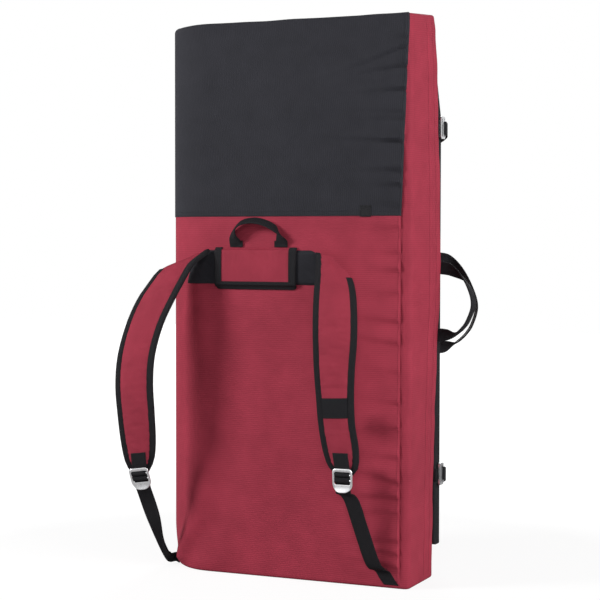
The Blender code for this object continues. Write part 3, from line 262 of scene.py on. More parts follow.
def mesh_piece(name, shape, material):
    """An object from a bmesh, facing out and smooth, with the given material."""
    bmesh.ops.recalc_face_normals(shape, faces=shape.faces)
    if shape.calc_volume(signed=True) < 0:
        bmesh.ops.reverse_faces(shape, faces=shape.faces)
    mesh = bpy.data.meshes.new(name)
    shape.to_mesh(mesh)
    shape.free()
    mesh.shade_smooth()
    mesh.materials.append(material)
    return add_object(name, mesh)


def soften(piece, size, steps=2, angle=40):
    """Rounds a piece's sharp edges."""
    round_off = piece.modifiers.new("round_edges", "BEVEL")
    round_off.width = size
    round_off.segments = steps
    round_off.limit_method = "ANGLE"
    round_off.angle_limit = math.radians(angle)
    round_off.harden_normals = True


def settle(piece, body, slot, *stands_for):
    """Puts a piece on its body and hides the solids that it stands for. Its slot is not used."""
    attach(piece, body)
    if stands_for:
        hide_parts(*stands_for)
    return piece


def scaled(colour, share):
    return tuple(channel * share for channel in colour)


class Finish:
    """A material in the making. Its methods add nodes and give the socket that they end in."""

    def __init__(self, name, roughness, metallic=0.0, gloss=0.09):
        self.material = bpy.data.materials.new(name)
        self.material.use_nodes = True
        self.tree = self.material.node_tree
        self.shader = self.tree.nodes["Principled BSDF"]
        self.shader.inputs["Roughness"].default_value = roughness
        self.shader.inputs["Metallic"].default_value = metallic
        self.shader.inputs["Specular IOR Level"].default_value = gloss
        self.place = add_node(self.tree, "TexCoord").outputs["Object"]

    def maths(self, operation, *values):
        return maths(self.tree, operation, *values)

    def weighed(self, *parts):
        """The sum of the sockets, each times its weight."""
        terms = [self.maths("MULTIPLY", socket, weight) for socket, weight in parts]
        total = terms[0]
        for term in terms[1:]:
            total = self.maths("ADD", total, term)
        return total

    def noise(self, scale, detail=2.0, distortion=0.0):
        values = {"Vector": self.place, "Scale": scale, "Detail": detail, "Distortion": distortion}
        return add_node(self.tree, "TexNoise", values).outputs["Fac"]

    def cloth_map(self):
        """The two ways along the cloth, in metres."""
        place = add_node(self.tree, "UVMap", uv_map="UVMap").outputs[0]
        return add_node(self.tree, "SeparateXYZ", {0: place}).outputs

    def give(self, name, socket):
        self.tree.links.new(socket, self.shader.inputs[name])

    def paint(self, factor, colour, *stops):
        """Runs through the colour at each stop's strength."""
        ramp = add_node(self.tree, "ValToRGB", {"Fac": factor})
        points = ramp.color_ramp.elements
        while len(points) < len(stops):
            points.new(0.5)
        for point, (place, strength) in zip(points, stops):
            point.position = place
            point.color = (*scaled(colour, strength), 1)
        self.give("Base Color", ramp.outputs["Color"])

    def relief(self, height, strength, distance):
        values = {"Height": height, "Strength": strength, "Distance": distance}
        self.give("Normal", add_node(self.tree, "Bump", values).outputs[0])


def foam_material(name, colour, cell):
    """Foam: fine cells as small pits with painted shade, and a slow change of colour."""
    finish = Finish(name, 0.95)
    cells = add_node(finish.tree, "TexVoronoi", {"Vector": finish.place, "Scale": 1 / cell})
    depth = cells.outputs["Distance"]
    # The colour follows the cells' depth: painted shade in the pits and a painted highlight on the cell rims.
    tone_and_shade = finish.weighed((depth, 0.7), (finish.noise(9), 0.4))
    finish.paint(tone_and_shade, colour, (0.1, 0.6), (0.7, 1), (1.0, 1.12))
    finish.relief(depth, 0.5, cell / 3)
    return finish.material


def foam_sheet(half, name, low_v, high_v, foam):
    """One foam sheet: the inside of the cover cut at two depths, with eased edges."""
    points = [place[:2] for place in pad_outline(half, foam_seat, foam_arcs, foam_lines)]
    for bound, above in ((low_v, True), (high_v, False)):
        kept = []
        for k, (u, v) in enumerate(points):
            before_u, before_v = points[k - 1]
            if ((v >= bound) == above) != ((before_v >= bound) == above):
                share = (bound - before_v) / (v - before_v)
                kept.append((before_u + (u - before_u) * share, bound))
            if (v >= bound) == above:
                kept.append((u, v))
        points = kept
    shape = bmesh.new()
    join_rings(shape, [[pad_point(half, drawn_in(u, z), v, z) for u, v in points] for z in foam_levels])
    piece = mesh_piece(f"{half}_{name}_block", shape, foams[foam])
    soften(piece, foam_ease)
    settle(piece, half + "_half", foam, f"{half}_{name}")


foams = {
    "closed_cell_foam": foam_material("closed_cell_foam", grey_foam, grey_cell),
    "open_cell_foam": foam_material("open_cell_foam", pale_foam, pale_cell),
}
inner_v = half_gap / 2 + foam_seat
outer_v = half_depth - foam_seat
landing_top = inner_v + landing_foam
for half in ("near", "far"):
    foam_sheet(half, "landing_foam", inner_v, landing_top, "closed_cell_foam")
    foam_sheet(half, "core_foam", landing_top + fit_gap, outer_v - base_foam - fit_gap, "open_cell_foam")
    foam_sheet(half, "base_foam", outer_v - base_foam, outer_v, "closed_cell_foam")

# Covers: sewn bags of red canvas with a fine rib across, swollen at the open side by the foam. The
# side gusset is sewn in by a seam beside the front corner, and pulls the face into short creases.
end_radius = 0.006
end_insets = (0.055, 0.035, 0.02, 0.011)
end_close = 0.011
end_middle = 0.09
face_crown = 0.006
side_swell = 0.016
swells = {"near": side_swell, "far": 0.0}
swell_reach = 0.06
swell_shares = ((0.0, 0.03), (0.14, 0.12), (0.23, 0.25), (0.29, 0.38), (0.42, 0.62), (0.52, 1.0))
swell_shares += ((0.6, 1.0), (0.66, 0.88), (0.72, 0.86), (0.83, 0.6), (0.92, 0.44), (0.97, 0.25))
swell_shares += ((1.0, 0.0),)
colour_line = 0.684
seam_inset = 0.019
seam_top_inset = 0.004
level_step = 0.0042
rib_pitch = 0.0037
thread_pitch = 0.0009
red = (0.33, 0.037, 0.062)


def clamped(value):
    return min(max(value, 0.0), 1.0)


def eased(share):
    share = clamped(share)
    return share * share * (3 - 2 * share)


def hill(place, middle, reach, power=2):
    """1 in the middle, and less to both sides."""
    return math.exp(-(((place - middle) / reach) ** power))


def fullness(z):
    return 1 - (2 * z / pad_height - 1) ** 4


def side_fullness(z):
    share = clamped(z / pad_height)
    for (low, start), (high, end) in zip(swell_shares, swell_shares[1:]):
        if share <= high:
            return start + (end - start) * eased((share - low) / (high - low))
    return 0.0


def seam_line(half, z):
    """How far from the fold line the gusset's seam lies at this height."""
    share = clamped((z - colour_line) / (pad_height - colour_line))
    return pad_width[half] - seam_inset + (seam_inset - seam_top_inset) * share


def wave(seed, place, pitch):
    """A slow wander between -1 and 1, the same each time."""
    return noise.noise(Vector((seed * 7.3, place / pitch, seed * 1.7)))


def chance(k, salt):
    """A number between 0 and 1, the same each time."""
    return math.sin(k * 12.9898 + salt * 78.233) * 43758.5453 % 1


# The seam pulls the face in at places along it: each one's height, slant and depth, and how far its
# fold runs. The black sheet's folds are given in the same order, and the corner's fold by itself.
pull_count = 60
pull_first = 0.012
pull_slant = 0.3
pulls = []
height = pull_first
for k in range(pull_count):
    depth = 0.0022 + 0.005 * chance(k, 1) ** 1.5
    pulls.append((height, pull_slant * (chance(k, 4) - 0.42), depth, 0.025 + 0.06 * chance(k, 3)))
    height += 0.021 + 0.036 * chance(k, 5)
fold_drop = 0.0085
least_span = 0.008
sheet_folds = ((0.992, -0.34, 0.006, 0.13), (0.957, -0.12, 0.0056, 0.09), (0.915, -0.06, 0.0054, 0.07))
sheet_folds += ((0.86, 0.04, 0.0044, 0.07), (0.82, 0.06, 0.0054, 0.1), (0.77, -0.03, 0.0036, 0.07))
sheet_fold_width = 0.0065
sheet_share = 0.8
sheet_sink_share = 0.4
sheet_wander = 0.0014
seam_sink = 0.0009
seam_sink_width = 0.0015
seam_puff = 0.0011
seam_wander = 0.002
ridge_rise = 0.0006
ridge_wander = 0.0004
side_seam = 0.048
side_hem = 0.022
side_margin = 0.004
side_sink = 0.0014
side_strip = 0.0008
side_wander = 0.0012
deepest = 0.0013
low_fade = 0.06
top_fade = 0.05
corner_pull = 0.012
corner_pull_u = 0.043
corner_pull_lean = 0.68
corner_pull_bend = 0.1
corner_high_lean = 0.19
corner_pull_top = 0.27
corner_pull_reach = 0.26
corner_pull_depth = 0.03
corner_peak = 0.012
corner_peak_start = 0.95
corner_peak_height = 0.1
end_wander = 0.0016


def sag(left, z):
    """The cloth's fold between two pulls: steep below, where it tucks under, and long above."""
    low = pulls[0]
    for high in pulls[1:]:
        foot = low[0] + low[1] * left
        top = high[0] + high[1] * left
        if z < top:
            break
        low = high
    span = max(top - foot, least_span)
    way = min(max(z - foot, 0.0), span)
    tuck = min(fold_drop + 0.06 * left, span * 0.4)
    if way < tuck:
        rise = eased(way / tuck)
    else:
        rise = 0.5 + 0.5 * math.cos(math.pi * (way - tuck) / (span - tuck))
    return low[2] * rise * hill(left, 0, low[3], 1.4) * eased(left / 0.004 + 0.25)


def corner_fold(u, z):
    """The long fold that runs up from the fold side's lower corner, where the webbing pulls."""
    middle = corner_pull_u + corner_pull_lean * min(z, corner_pull_bend)
    middle += corner_high_lean * max(z - corner_pull_bend, 0.0)
    aside = u - middle
    reach = 0.015 + 0.09 * min(z, 0.16)
    fade = eased((corner_pull_top - z) / 0.15) * min(z / 0.018, 1.0)
    return corner_pull * fade * (hill(aside / reach, -0.75, 1) + 0.25 * hill(aside, 0.07, 0.05))


def face_creases(half, u, z):
    """The face's relief: pulls and swelling beside the gusset's seam, and the black sheet's folds."""
    seam = seam_line(half, z)
    left = seam - u
    black = z > colour_line
    off = -seam_sink * hill(left, 0, seam_sink_width) * (sheet_sink_share if black else 1.0)
    if left > 0:
        off += sag(left, z) * (sheet_share if black else 1.0)
        off += seam_puff * hill(left, 0.04, 0.035)
        off += seam_wander * hill(left, 0, 0.2) * (0.5 + wave(9, z + 0.12 * u, 0.085))
    if seam < pad_width[half] - edge_radius:
        off += hill(left, -0.009, 0.003) * (ridge_rise + ridge_wander * wave(14, z, 0.007))
    if black:
        top = min((z - colour_line) / 0.05, 1.0)
        off += top * sheet_wander * wave(12, z + 0.3 * u, 0.07) * min(u / 0.3, 1.0)
        for height, slant, depth, length in sheet_folds:
            away = (z - height - slant * left) / sheet_fold_width
            if abs(away) < 3 and left > 0:
                off += depth * away * hill(away, 0, 1) * hill(left, 0, length)
    return off


def side_creases(v, z):
    """The gusset's relief: a slow wander, and the strip between its two seams."""
    off = side_wander * wave(15, z + 0.2 * v, 0.05) + side_strip * wave(19, z + 0.5 * v, 0.028)
    strip = hill(v, (side_seam + side_hem) / 2, 0.012, 4)
    off += strip * side_strip * (1 + wave(18, z, 0.013))
    return off - side_sink * (hill(v, side_seam, 0.0016) + hill(v, side_hem, 0.0016))


def creases(half, u, v, z, front):
    """How far the canvas stands off or sinks at this place."""
    off = 0.0
    if front:
        off = face_creases(half, u, z)
    elif u > pad_width[half] - side_margin:
        off = side_creases(v, z)
    off = max(off * clamped(min(z / low_fade, (pad_height - z) / top_fade)), -deepest)
    if half == "near" and v > corner_pull_depth and u < corner_pull_reach and z < corner_pull_top:
        off += corner_fold(u, z)
    return off


def cover_place(half, place, z, lift=0.0, creased=True):
    """A point of the cover's outside, lifted off it by the given length."""
    u, v, away_u, away_v = place
    width = pad_width[half]
    front = away_v > 0.7
    out = lift + (creases(half, u, v, z, front) if creased else 0.0)
    reach = clamped((u - width + swell_reach) / swell_reach)
    side = swells[half] * side_fullness(z) * reach * (1 - v / (half_depth + face_crown))
    rise = 0.0
    if swells[half]:
        peak = eased((z - corner_peak_start) / corner_peak_height)
        rise = corner_peak * peak * eased(reach) * (1 - v / half_depth)
    if front:
        share = clamped((u - face_start) / (width - edge_radius - face_start))
        out += face_crown * fullness(z) * 4 * share * (1 - share)
        rise += end_wander * eased((z - 0.98) / 0.06) * wave(41, u, 0.06)
    return pad_point(half, drawn_in(u + side + away_u * out, z), v + away_v * out, z + rise)


def canvas(name, colour, weave, rib_way=0, ribs=0.0):
    """Coated woven polyester. Its map runs in metres: fine threads both ways, and a raised rib that
    runs one way or not at all, with slow changes of colour and a few rubbed places."""
    finish = Finish(name, 0.74)
    ways = finish.cloth_map()

    def threads(way, pitch):
        return finish.maths("SINE", finish.maths("MULTIPLY", ways[way], math.tau / pitch))

    fine = finish.maths("MULTIPLY", threads(0, thread_pitch), threads(1, thread_pitch))
    height = finish.maths("MULTIPLY", fine, 0.35 * weave)
    if ribs:
        sharp = finish.maths("POWER", finish.maths("MAXIMUM", threads(rib_way, rib_pitch), 0.0), 2.0)
        height = finish.maths("ADD", height, finish.maths("MULTIPLY", sharp, ribs))
    slow = finish.noise(6, 4)
    blotch = finish.noise(26)
    fleck = finish.noise(420, 1)
    # The weave's height also sets the colour: painted shade between the threads and ribs, painted highlight
    # on their tops.
    tone_and_shade = finish.weighed((slow, 0.22), (blotch, 0.3), (fleck, 0.12), (height, 0.3))
    finish.paint(tone_and_shade, colour, (0.14, 0.68), (0.42, 1), (0.72, 1.3))
    finish.give("Roughness", finish.maths("ADD", finish.maths("MULTIPLY", fleck, 0.2), 0.62))
    finish.relief(height, 0.6, 0.0004)
    return finish.material


def grid_faces(shape, layer, rows, marks, around=False):
    """Quads over rows of points, mapped in metres by their marks. Gives the points' vertices."""
    grid = [[shape.verts.new(point) for point in row] for row in rows]
    count = len(rows[0])
    for i in range(len(rows) - 1):
        for j in range(count if around else count - 1):
            k = (j + 1) % count
            face = shape.faces.new((grid[i][j], grid[i][k], grid[i + 1][k], grid[i + 1][j]))
            spots = ((i, j), (i, j + 1), (i + 1, j + 1), (i + 1, j))
            for loop, (a, b) in zip(face.loops, spots):
                loop[layer].uv = marks[a][b % len(marks[a])]
    return grid


def shell(name, rings, marks, material):
    """A closed piece over rings of points, with a face over each end."""
    shape = bmesh.new()
    layer = shape.loops.layers.uv.new("UVMap")
    grid = grid_faces(shape, layer, rings, marks, around=True)
    for ring in (grid[0], grid[-1]):
        for loop in shape.faces.new(ring).loops:
            loop[layer].uv = (loop.vert.co.x, loop.vert.co.y)
    return mesh_piece(name, shape, material)


def distances(points):
    """How far along the chain each of its points lies."""
    run = [0.0]
    for start, end in zip(points, points[1:]):
        run.append(run[-1] + math.dist(start, end))
    return run


def rounded_end(radius):
    """The rise and the inset at steps round an edge of this radius."""
    turns = [math.radians(15 * k) for k in range(7)]
    return [(radius * (1 - math.cos(a)), radius * (1 - math.sin(a))) for a in turns]


def cover_levels():
    """Heights of the cover's rings, with how far each is drawn in at the rounded ends."""
    count = round((pad_height - 2 * end_radius) / level_step)
    step = (pad_height - 2 * end_radius) / count
    middle = [(end_radius + step * k, 0.0) for k in range(1, count)]
    rise = [(0.0, inset) for inset in end_insets] + rounded_end(end_radius)
    return rise + middle + [(pad_height - z, inset) for z, inset in reversed(rise)]


def end_outline(half, inset):
    """The outline drawn in. Far in, it shrinks towards the pad's middle line without crossing it."""
    close = min(inset, end_close)
    share = (inset - close) / (half_depth / 2)
    points = []
    for u, v, away_u, away_v in pad_outline(half, close):
        middle_u = min(max(u, end_middle), pad_width[half] - half_depth / 2)
        points.append((u + (middle_u - u) * share, v + (half_depth / 2 - v) * share, away_u, away_v))
    return points


def make_cover(half, material):
    outline = [place[:2] for place in pad_outline(half, 0.0)]
    run = distances(outline + outline[:1])
    rings = []
    marks = []
    for z, inset in cover_levels():
        rings.append([cover_place(half, place, z) for place in end_outline(half, inset)])
        rise = z - inset if z < pad_height / 2 else z + inset
        marks.append([(distance, rise) for distance in run])
    return shell(half + "_canvas", rings, marks, material)


red_ribbed = canvas("red_ribbed_canvas", red, 0.2, 1, 0.55)
for half in ("near", "far"):
    cover = settle(make_cover(half, red_ribbed), half + "_half", "red_canvas", half + "_cover")

# Upper panels: tough black sheet sewn over the upper third of the outer face and round the fold,
# hemmed at its lower edge by two rows of stitches.
panel_lift = 0.0004
panel_thickness = 0.0009
panel_top = panel_lift + panel_thickness
panel_columns = 44
panel_growth = 1.4
seam_steps = 4
seam_step = 0.0005
bend_steps = 26
black = (0.0265, 0.0265, 0.0325)


def thick_sheet(name, rows, marks, low, high, material, towards=(0, -1, 0), edge=0.0003):
    """A closed cloth sheet between two offsets from a grid, out to the side of the given way."""
    last_row = len(rows) - 1
    last = len(rows[0]) - 1

    def away(i, j):
        down = rows[min(i + 1, last_row)][j] - rows[max(i - 1, 0)][j]
        across = rows[i][min(j + 1, last)] - rows[i][max(j - 1, 0)]
        return across.cross(down).normalized()

    turn = 1 if away(last_row // 2, last // 2).dot(Vector(towards)) > 0 else -1
    shape = bmesh.new()
    layer = shape.loops.layers.uv.new("UVMap")
    skins = []
    for offset in (low, high):
        skin = []
        for i, row in enumerate(rows):
            skin.append([p + away(i, j) * (turn * offset) for j, p in enumerate(row)])
        skins.append(grid_faces(shape, layer, skin, marks))
    bottom, top = skins
    rim = [(0, j) for j in range(last)] + [(i, last) for i in range(last_row)]
    rim += [(last_row, j) for j in range(last, 0, -1)] + [(i, 0) for i in range(last_row, 0, -1)]
    for (i, j), (a, b) in zip(rim, rim[1:] + rim[:1]):
        face = shape.faces.new((bottom[i][j], bottom[a][b], top[a][b], top[i][j]))
        for loop, (c, d) in zip(face.loops, ((i, j), (a, b), (a, b), (i, j))):
            loop[layer].uv = marks[c][d]
    piece = mesh_piece(name, shape, material)
    if edge:
        soften(piece, edge)
    return piece


def panel_path(half, z):
    """Outline places from the gusset's seam, over the face and round the fold."""
    seam = seam_line(half, z)
    corner = pad_width[half] - edge_radius
    path = []
    for step in range(seam_steps):
        if seam > corner:
            lean = math.acos(min((seam - corner) / edge_radius, 1.0))
            angle = lean + (math.pi / 2 - lean) * step / seam_steps
            away = (math.cos(angle), math.sin(angle))
            path.append((corner + edge_radius * away[0], half_depth - edge_radius * (1 - away[1]), *away))
        else:
            path.append((seam - step * seam_step, half_depth, 0, 1))
    first = path[-1][0] - seam_step
    for k in range(panel_columns + 1):
        path.append((first + (face_start - first) * (k / panel_columns) ** panel_growth, half_depth, 0, 1))
    for step in range(1, bend_steps + 1):
        angle = math.radians(90 + 90 * step / bend_steps)
        away = (math.cos(angle), math.sin(angle))
        path.append((face_start + fold_radius * away[0], half_depth - fold_radius * (1 - away[1]), *away))
    return path


def make_panel(half, material):
    rows = []
    marks = []
    upper = [level for level in cover_levels() if level[0] > colour_line + 0.001 and level[1] <= end_radius]
    for z, inset in [(colour_line, 0.0)] + upper:
        row = []
        for u, v, away_u, away_v in panel_path(half, z):
            moved = (u - away_u * inset, v - away_v * inset, away_u, away_v)
            row.append(cover_place(half, moved, z))
        rows.append(row)
        marks.append([(-distance, z + inset) for distance in distances(row)])
    outwards = (0, -1 if half == "near" else 1, 0)
    return thick_sheet(half + "_black_sheet", rows, marks, panel_lift, panel_top, material, outwards)


black_ribbed = canvas("black_ribbed_canvas", black, 0.6, 0, 0.9)
for half in ("near", "far"):
    panel = make_panel(half, black_ribbed)
    settle(panel, half + "_half", "black_canvas", half + "_upper_panel")

# Thread: twisted and bonded, black on the black cloth and red along the seams. Seams and hems are
# sewn in short raised stitches, about 3 mm apart.
stitch_pitch = 0.0032
stitch_length = 0.0025
stitch_width = 0.0007
bead_shares = ((-1, 0.45), (-0.6, 1.0), (0.6, 1.0), (1, 0.45))
bead_sides = 6
bead_flatness = 0.75
hem_rises = (0.0022, 0.0085)
seam_stitch_aside = 0.0036
side_stitch_aside = 0.0035
seam_heights = [0.012 + k * 0.006 for k in range(172)]
black_thread = (0.022, 0.022, 0.026)
red_thread = (0.2, 0.024, 0.04)


def thread_material(name, colour):
    """Twisted thread: fine slanting plies along a slow change of colour."""
    finish = Finish(name, 0.55)
    finish.paint(finish.noise(2400), colour, (0.3, 0.7), (0.6, 1), (0.8, 1.4))
    return finish.material


def add_bead(shape, centre, ahead, out, length, width):
    """A small rounded bead that lies along the cloth, such as one stitch or one zip tooth."""
    side = ahead.cross(out).normalized()
    rings = []
    for share, size in bead_shares:
        middle = centre + ahead * (share * length / 2) + out * (width * 0.25 * size - width * 0.12)
        ring = []
        for k in range(bead_sides):
            angle = math.tau * k / bead_sides
            away = side * math.cos(angle) + out * (bead_flatness * math.sin(angle))
            ring.append(middle + away * (width / 2 * size))
        rings.append(ring)
    join_rings(shape, rings)


def stitches(name, runs, material, body, slot="black_webbing"):
    """Rows of stitches, each run a list of places on the cloth with the way out of it."""
    shape = bmesh.new()
    for run in runs:
        reached = 0.0
        spot = stitch_pitch / 2
        for (start, out), (end, _) in zip(run, run[1:]):
            length = (end - start).length
            while spot < reached + length:
                centre = start.lerp(end, (spot - reached) / length)
                add_bead(shape, centre, (end - start) / length, out, stitch_length, stitch_width)
                spot += stitch_pitch
            reached += length
    settle(mesh_piece(name, shape, material), body, slot)


def cover_run(half, path, lift):
    """Places along the cover for a row of stitches, from outline places with their heights."""
    side = -1 if half == "near" else 1
    run = []
    for place, z in path:
        run.append((cover_place(half, place, z, lift), Vector((place[2], side * place[3], 0))))
    return run


thread_black = thread_material("black_thread", black_thread)
thread_red = thread_material("red_thread", red_thread)
for half in ("near", "far"):
    width = pad_width[half]
    paths = [[(p, colour_line + rise) for p in panel_path(half, colour_line)[:-3]] for rise in hem_rises]
    paths.append([(panel_path(half, z)[seam_steps], z) for z in seam_heights if z > colour_line + 0.004])
    hems = [cover_run(half, path, panel_top) for path in paths]
    stitches(half + "_panel_stitches", hems, thread_black, half + "_half")
    paths = []
    for aside, top in ((-seam_stitch_aside, colour_line), (seam_stitch_aside, 1.0)):
        places = [(seam_line(half, z) + aside, z) for z in seam_heights if z < top]
        paths.append([((u, half_depth, 0, 1), z) for u, z in places if u < width - edge_radius])
    for line in (side_seam, side_hem):
        paths.append([((width, line + side_stitch_aside, 1, 0), z) for z in seam_heights])
    seams = [cover_run(half, path, 0.0) for path in paths]
    stitches(half + "_seam_stitches", seams, thread_red, half + "_half", "red_canvas")

# Fold web: the fabric hinge. Two plies of black canvas lie against the two landing faces and are
# sewn together along the fold line, where they turn as the pad opens.
web_width = 0.045
web_end = 0.02
web_ply = 0.0005
web_turn = 0.0006


def spread(low, high, count):
    return [low + (high - low) * k / (count - 1) for k in range(count)]


def smooth_through(points, steps):
    """Points on a smooth curve through the given ones, with the given steps between each two."""
    out = []
    last = len(points) - 1
    for k in range(last):
        before, start, end = points[max(k - 1, 0)], points[k], points[k + 1]
        after = points[min(k + 2, last)]
        for step in range(steps):
            t = step / steps
            square = (2 * before - 5 * start + 4 * end - after) * t * t
            cube = (3 * start - before - 3 * end + after) * t * t * t
            out.append((2 * start + (end - before) * t + square + cube) / 2)
    return out + [points[-1] * 1]


def tape(name, centres, acrosses, width, thickness, material, crown=0.0):
    """Woven tape with rounded edges. Its middle runs through the centres, with the given ways across."""
    rings = []
    marks = []
    last = len(centres) - 1
    radius = thickness / 2
    for k, (centre, run) in enumerate(zip(centres, distances(centres))):
        across = acrosses[k].normalized()
        out = across.cross(centres[min(k + 1, last)] - centres[max(k - 1, 0)]).normalized()
        half = (width[k] if isinstance(width, list) else width) / 2 - radius
        section = []
        for face in (1, -1):
            for share in (1.0, 0.5, 0.0, -0.5, -1.0):
                section.append((half * share * face, radius * face + crown * (1 - share**2)))
            for turn in (30, 60, 90, 120, 150):
                angle = math.radians(turn)
                edge = half + radius * math.sin(angle)
                section.append((-face * edge, face * radius * math.cos(angle)))
        rings.append([centre + across * a + out * o for a, o in section])
        marks.append([(a, run) for a, _ in section])
    return shell(name, rings, marks, material)


def woven(name, colour, rib, cross, depth, roughness=0.62):
    """Woven tape. Its map runs in metres, across and along: ribs across it, broken by the warp."""
    finish = Finish(name, roughness)
    ways = finish.cloth_map()
    over = finish.maths("SINE", finish.maths("MULTIPLY", ways[0], math.tau / cross))
    down = finish.maths("MULTIPLY", ways[1], math.tau / rib)
    shift = finish.maths("MULTIPLY", finish.maths("SIGN", over), math.pi / 2)
    ribs = finish.maths("SINE", finish.maths("ADD", down, shift))
    height = finish.weighed((ribs, 0.5), (finish.maths("ABSOLUTE", over), 0.6))
    # The ribs' height also sets the colour: painted shade between the ribs and painted highlight on their
    # tops.
    tone_and_shade = finish.weighed((height, 0.3), (finish.noise(700), 0.7))
    finish.paint(tone_and_shade, colour, (0.1, 0.55), (0.5, 1), (0.9, 1.7))
    finish.relief(height, 0.7, depth)
    return finish.material


def make_web(material):
    low_x = fold_x + 2 * hinge_clearance
    high_x = fold_x + web_width
    turns = [math.radians(90 + 20 * k) for k in range(10)]
    bend = [(low_x + web_turn * math.cos(a), fold_y + web_turn * math.sin(a)) for a in turns]
    line = [(high_x, fold_y + web_turn)] + bend + [(high_x, fold_y - web_turn)]
    heights = spread(web_end, pad_height - web_end, 60)
    rows = [[Vector((x, y, z)) for x, y in line] for z in heights]
    marks = [[(distance, z) for distance in distances(line)] for z in heights]
    return thick_sheet("fold_web_plies", rows, marks, -web_ply / 2, web_ply / 2, material, (-1, 0, 0), 0)


web = make_web(canvas("black_canvas_tape", black, 0.8))
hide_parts("fold_web")
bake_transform(web)

# Zips: two woven tapes with a coil of moulded teeth between them, sewn along the slit in each
# half's upper end that the foam goes in by. The metal slider stands at the open side.
zip_inset = 0.046
zip_margin = 0.012
zip_tape = 0.03
zip_gap = 0.0012
zip_thickness = 0.0008
zip_stitch_inset = 0.003
tooth_pitch = 0.0013
tooth_length = 0.0034
tooth_width = 0.0011
tooth_aside = 0.0012
coil_rise = 0.0017
zip_black = (0.02, 0.02, 0.024)
tooth_black = (0.018, 0.018, 0.021)
silver = (0.86, 0.865, 0.88)
to_back = Vector((0, 1, 0))
upright = Vector((0, 0, 1))


def tooth_material(name, colour):
    """Moulded nylon: smooth, with faint mould marks."""
    finish = Finish(name, 0.38)
    finish.paint(finish.noise(900), colour, (0.3, 0.8), (0.7, 1.3))
    return finish.material


def brushed(name, colour, roughness):
    """Satin aluminium: tumbled, with faint scratches, and duller where it has been handled."""
    finish = Finish(name, roughness, metallic=1.0, gloss=0.5)
    scratch = finish.noise(900, distortion=1.5)
    finish.paint(finish.noise(130, 5), colour, (0.3, 0.85), (0.7, 1))
    finish.give("Roughness", finish.maths("ADD", finish.maths("MULTIPLY", scratch, 0.2), roughness - 0.08))
    finish.relief(scratch, 0.12, 0.0002)
    return finish.material


def make_zip(half, tape_finish, tooth_finish):
    reach = (pad_width[half] - fold_radius) / 2 - zip_inset + zip_margin
    centre_u = (fold_radius + pad_width[half]) / 2
    middle_v = half_depth / 2
    z = pad_height + fit_gap + zip_thickness / 2
    side_width = (zip_tape - zip_gap) / 2
    body = half + "_half"
    stations = spread(centre_u - reach, centre_u + reach, 24)
    rows = []
    for name, side in (("inner", -1), ("outer", 1)):
        v = middle_v + side * (zip_gap + side_width) / 2
        line = [pad_point(half, u, v, z) for u in stations]
        piece = tape(f"{half}_zip_tape_{name}", line, [to_back] * 24, side_width, zip_thickness, tape_finish)
        settle(piece, body, "zip_plastic", half + "_zip")
        v = middle_v + side * (zip_tape / 2 - zip_stitch_inset)
        rows.append([(pad_point(half, u, v, z + zip_thickness / 2), upright) for u in stations])
    shape = bmesh.new()
    for k in range(round(2 * (reach - zip_margin) / tooth_pitch)):
        for side, shift in ((-1, 0), (1, tooth_pitch / 2)):
            u = centre_u - reach + zip_margin + k * tooth_pitch + shift
            spot = pad_point(half, u, middle_v + side * tooth_aside, pad_height + coil_rise)
            add_bead(shape, spot, to_back, upright, tooth_length, tooth_width)
    settle(mesh_piece(half + "_zip_teeth", shape, tooth_finish), body, "zip_plastic")
    stitches(half + "_zip_stitches", rows, thread_black, body, "zip_plastic")


def dress(node, material, edge):
    """Gives a carried-over solid its material and eased edges."""
    piece = bpy.data.objects[node]
    for slot in piece.material_slots:
        slot.material = material
    soften(piece, edge, 3, 35)


zip_weave = woven("zip_tape", zip_black, 0.0011, 0.0016, 0.0002)
zip_moulded = tooth_material("zip_teeth", tooth_black)
aluminium = brushed("satin_aluminium", silver, 0.27)
for half in ("near", "far"):
    make_zip(half, zip_weave, zip_moulded)
    dress(half + "_zip_slider", aluminium, 0.0004)

# Yoke: a padded black band behind the sleeve, whose two wings the shoulder straps are sewn to. The
# straps' pull leaves slanting folds in the wings.
harness_x = -0.042
harness_top = colour_line - 0.059
sewn_gap = 0.0005
yoke_height = 0.064
yoke_thickness = 0.004
yoke_cloth = 0.0008
yoke_drop = 0.005
yoke_right = 0.13
yoke_left = 0.11
yoke_left_flare = 0.043
yoke_right_flare = 0.022
yoke_corner = 0.016
yoke_bulge = 0.009
yoke_puff = 0.0035
yoke_edge = 0.008
yoke_fold = 0.0007
yoke_fold_pitch = 0.021


def face_point(x, z, out, creased=True):
    """A point that far out from the near half's outer face, which curves away at the fold."""
    u = x - fold_x
    place = (u, half_depth, 0.0, 1.0)
    if u < face_start:
        away_u = (u - face_start) / fold_radius
        away_v = math.sqrt(1 - away_u**2)
        place = (u, half_depth - fold_radius * (1 - away_v), away_u, away_v)
    return cover_place("near", place, z, out, creased)


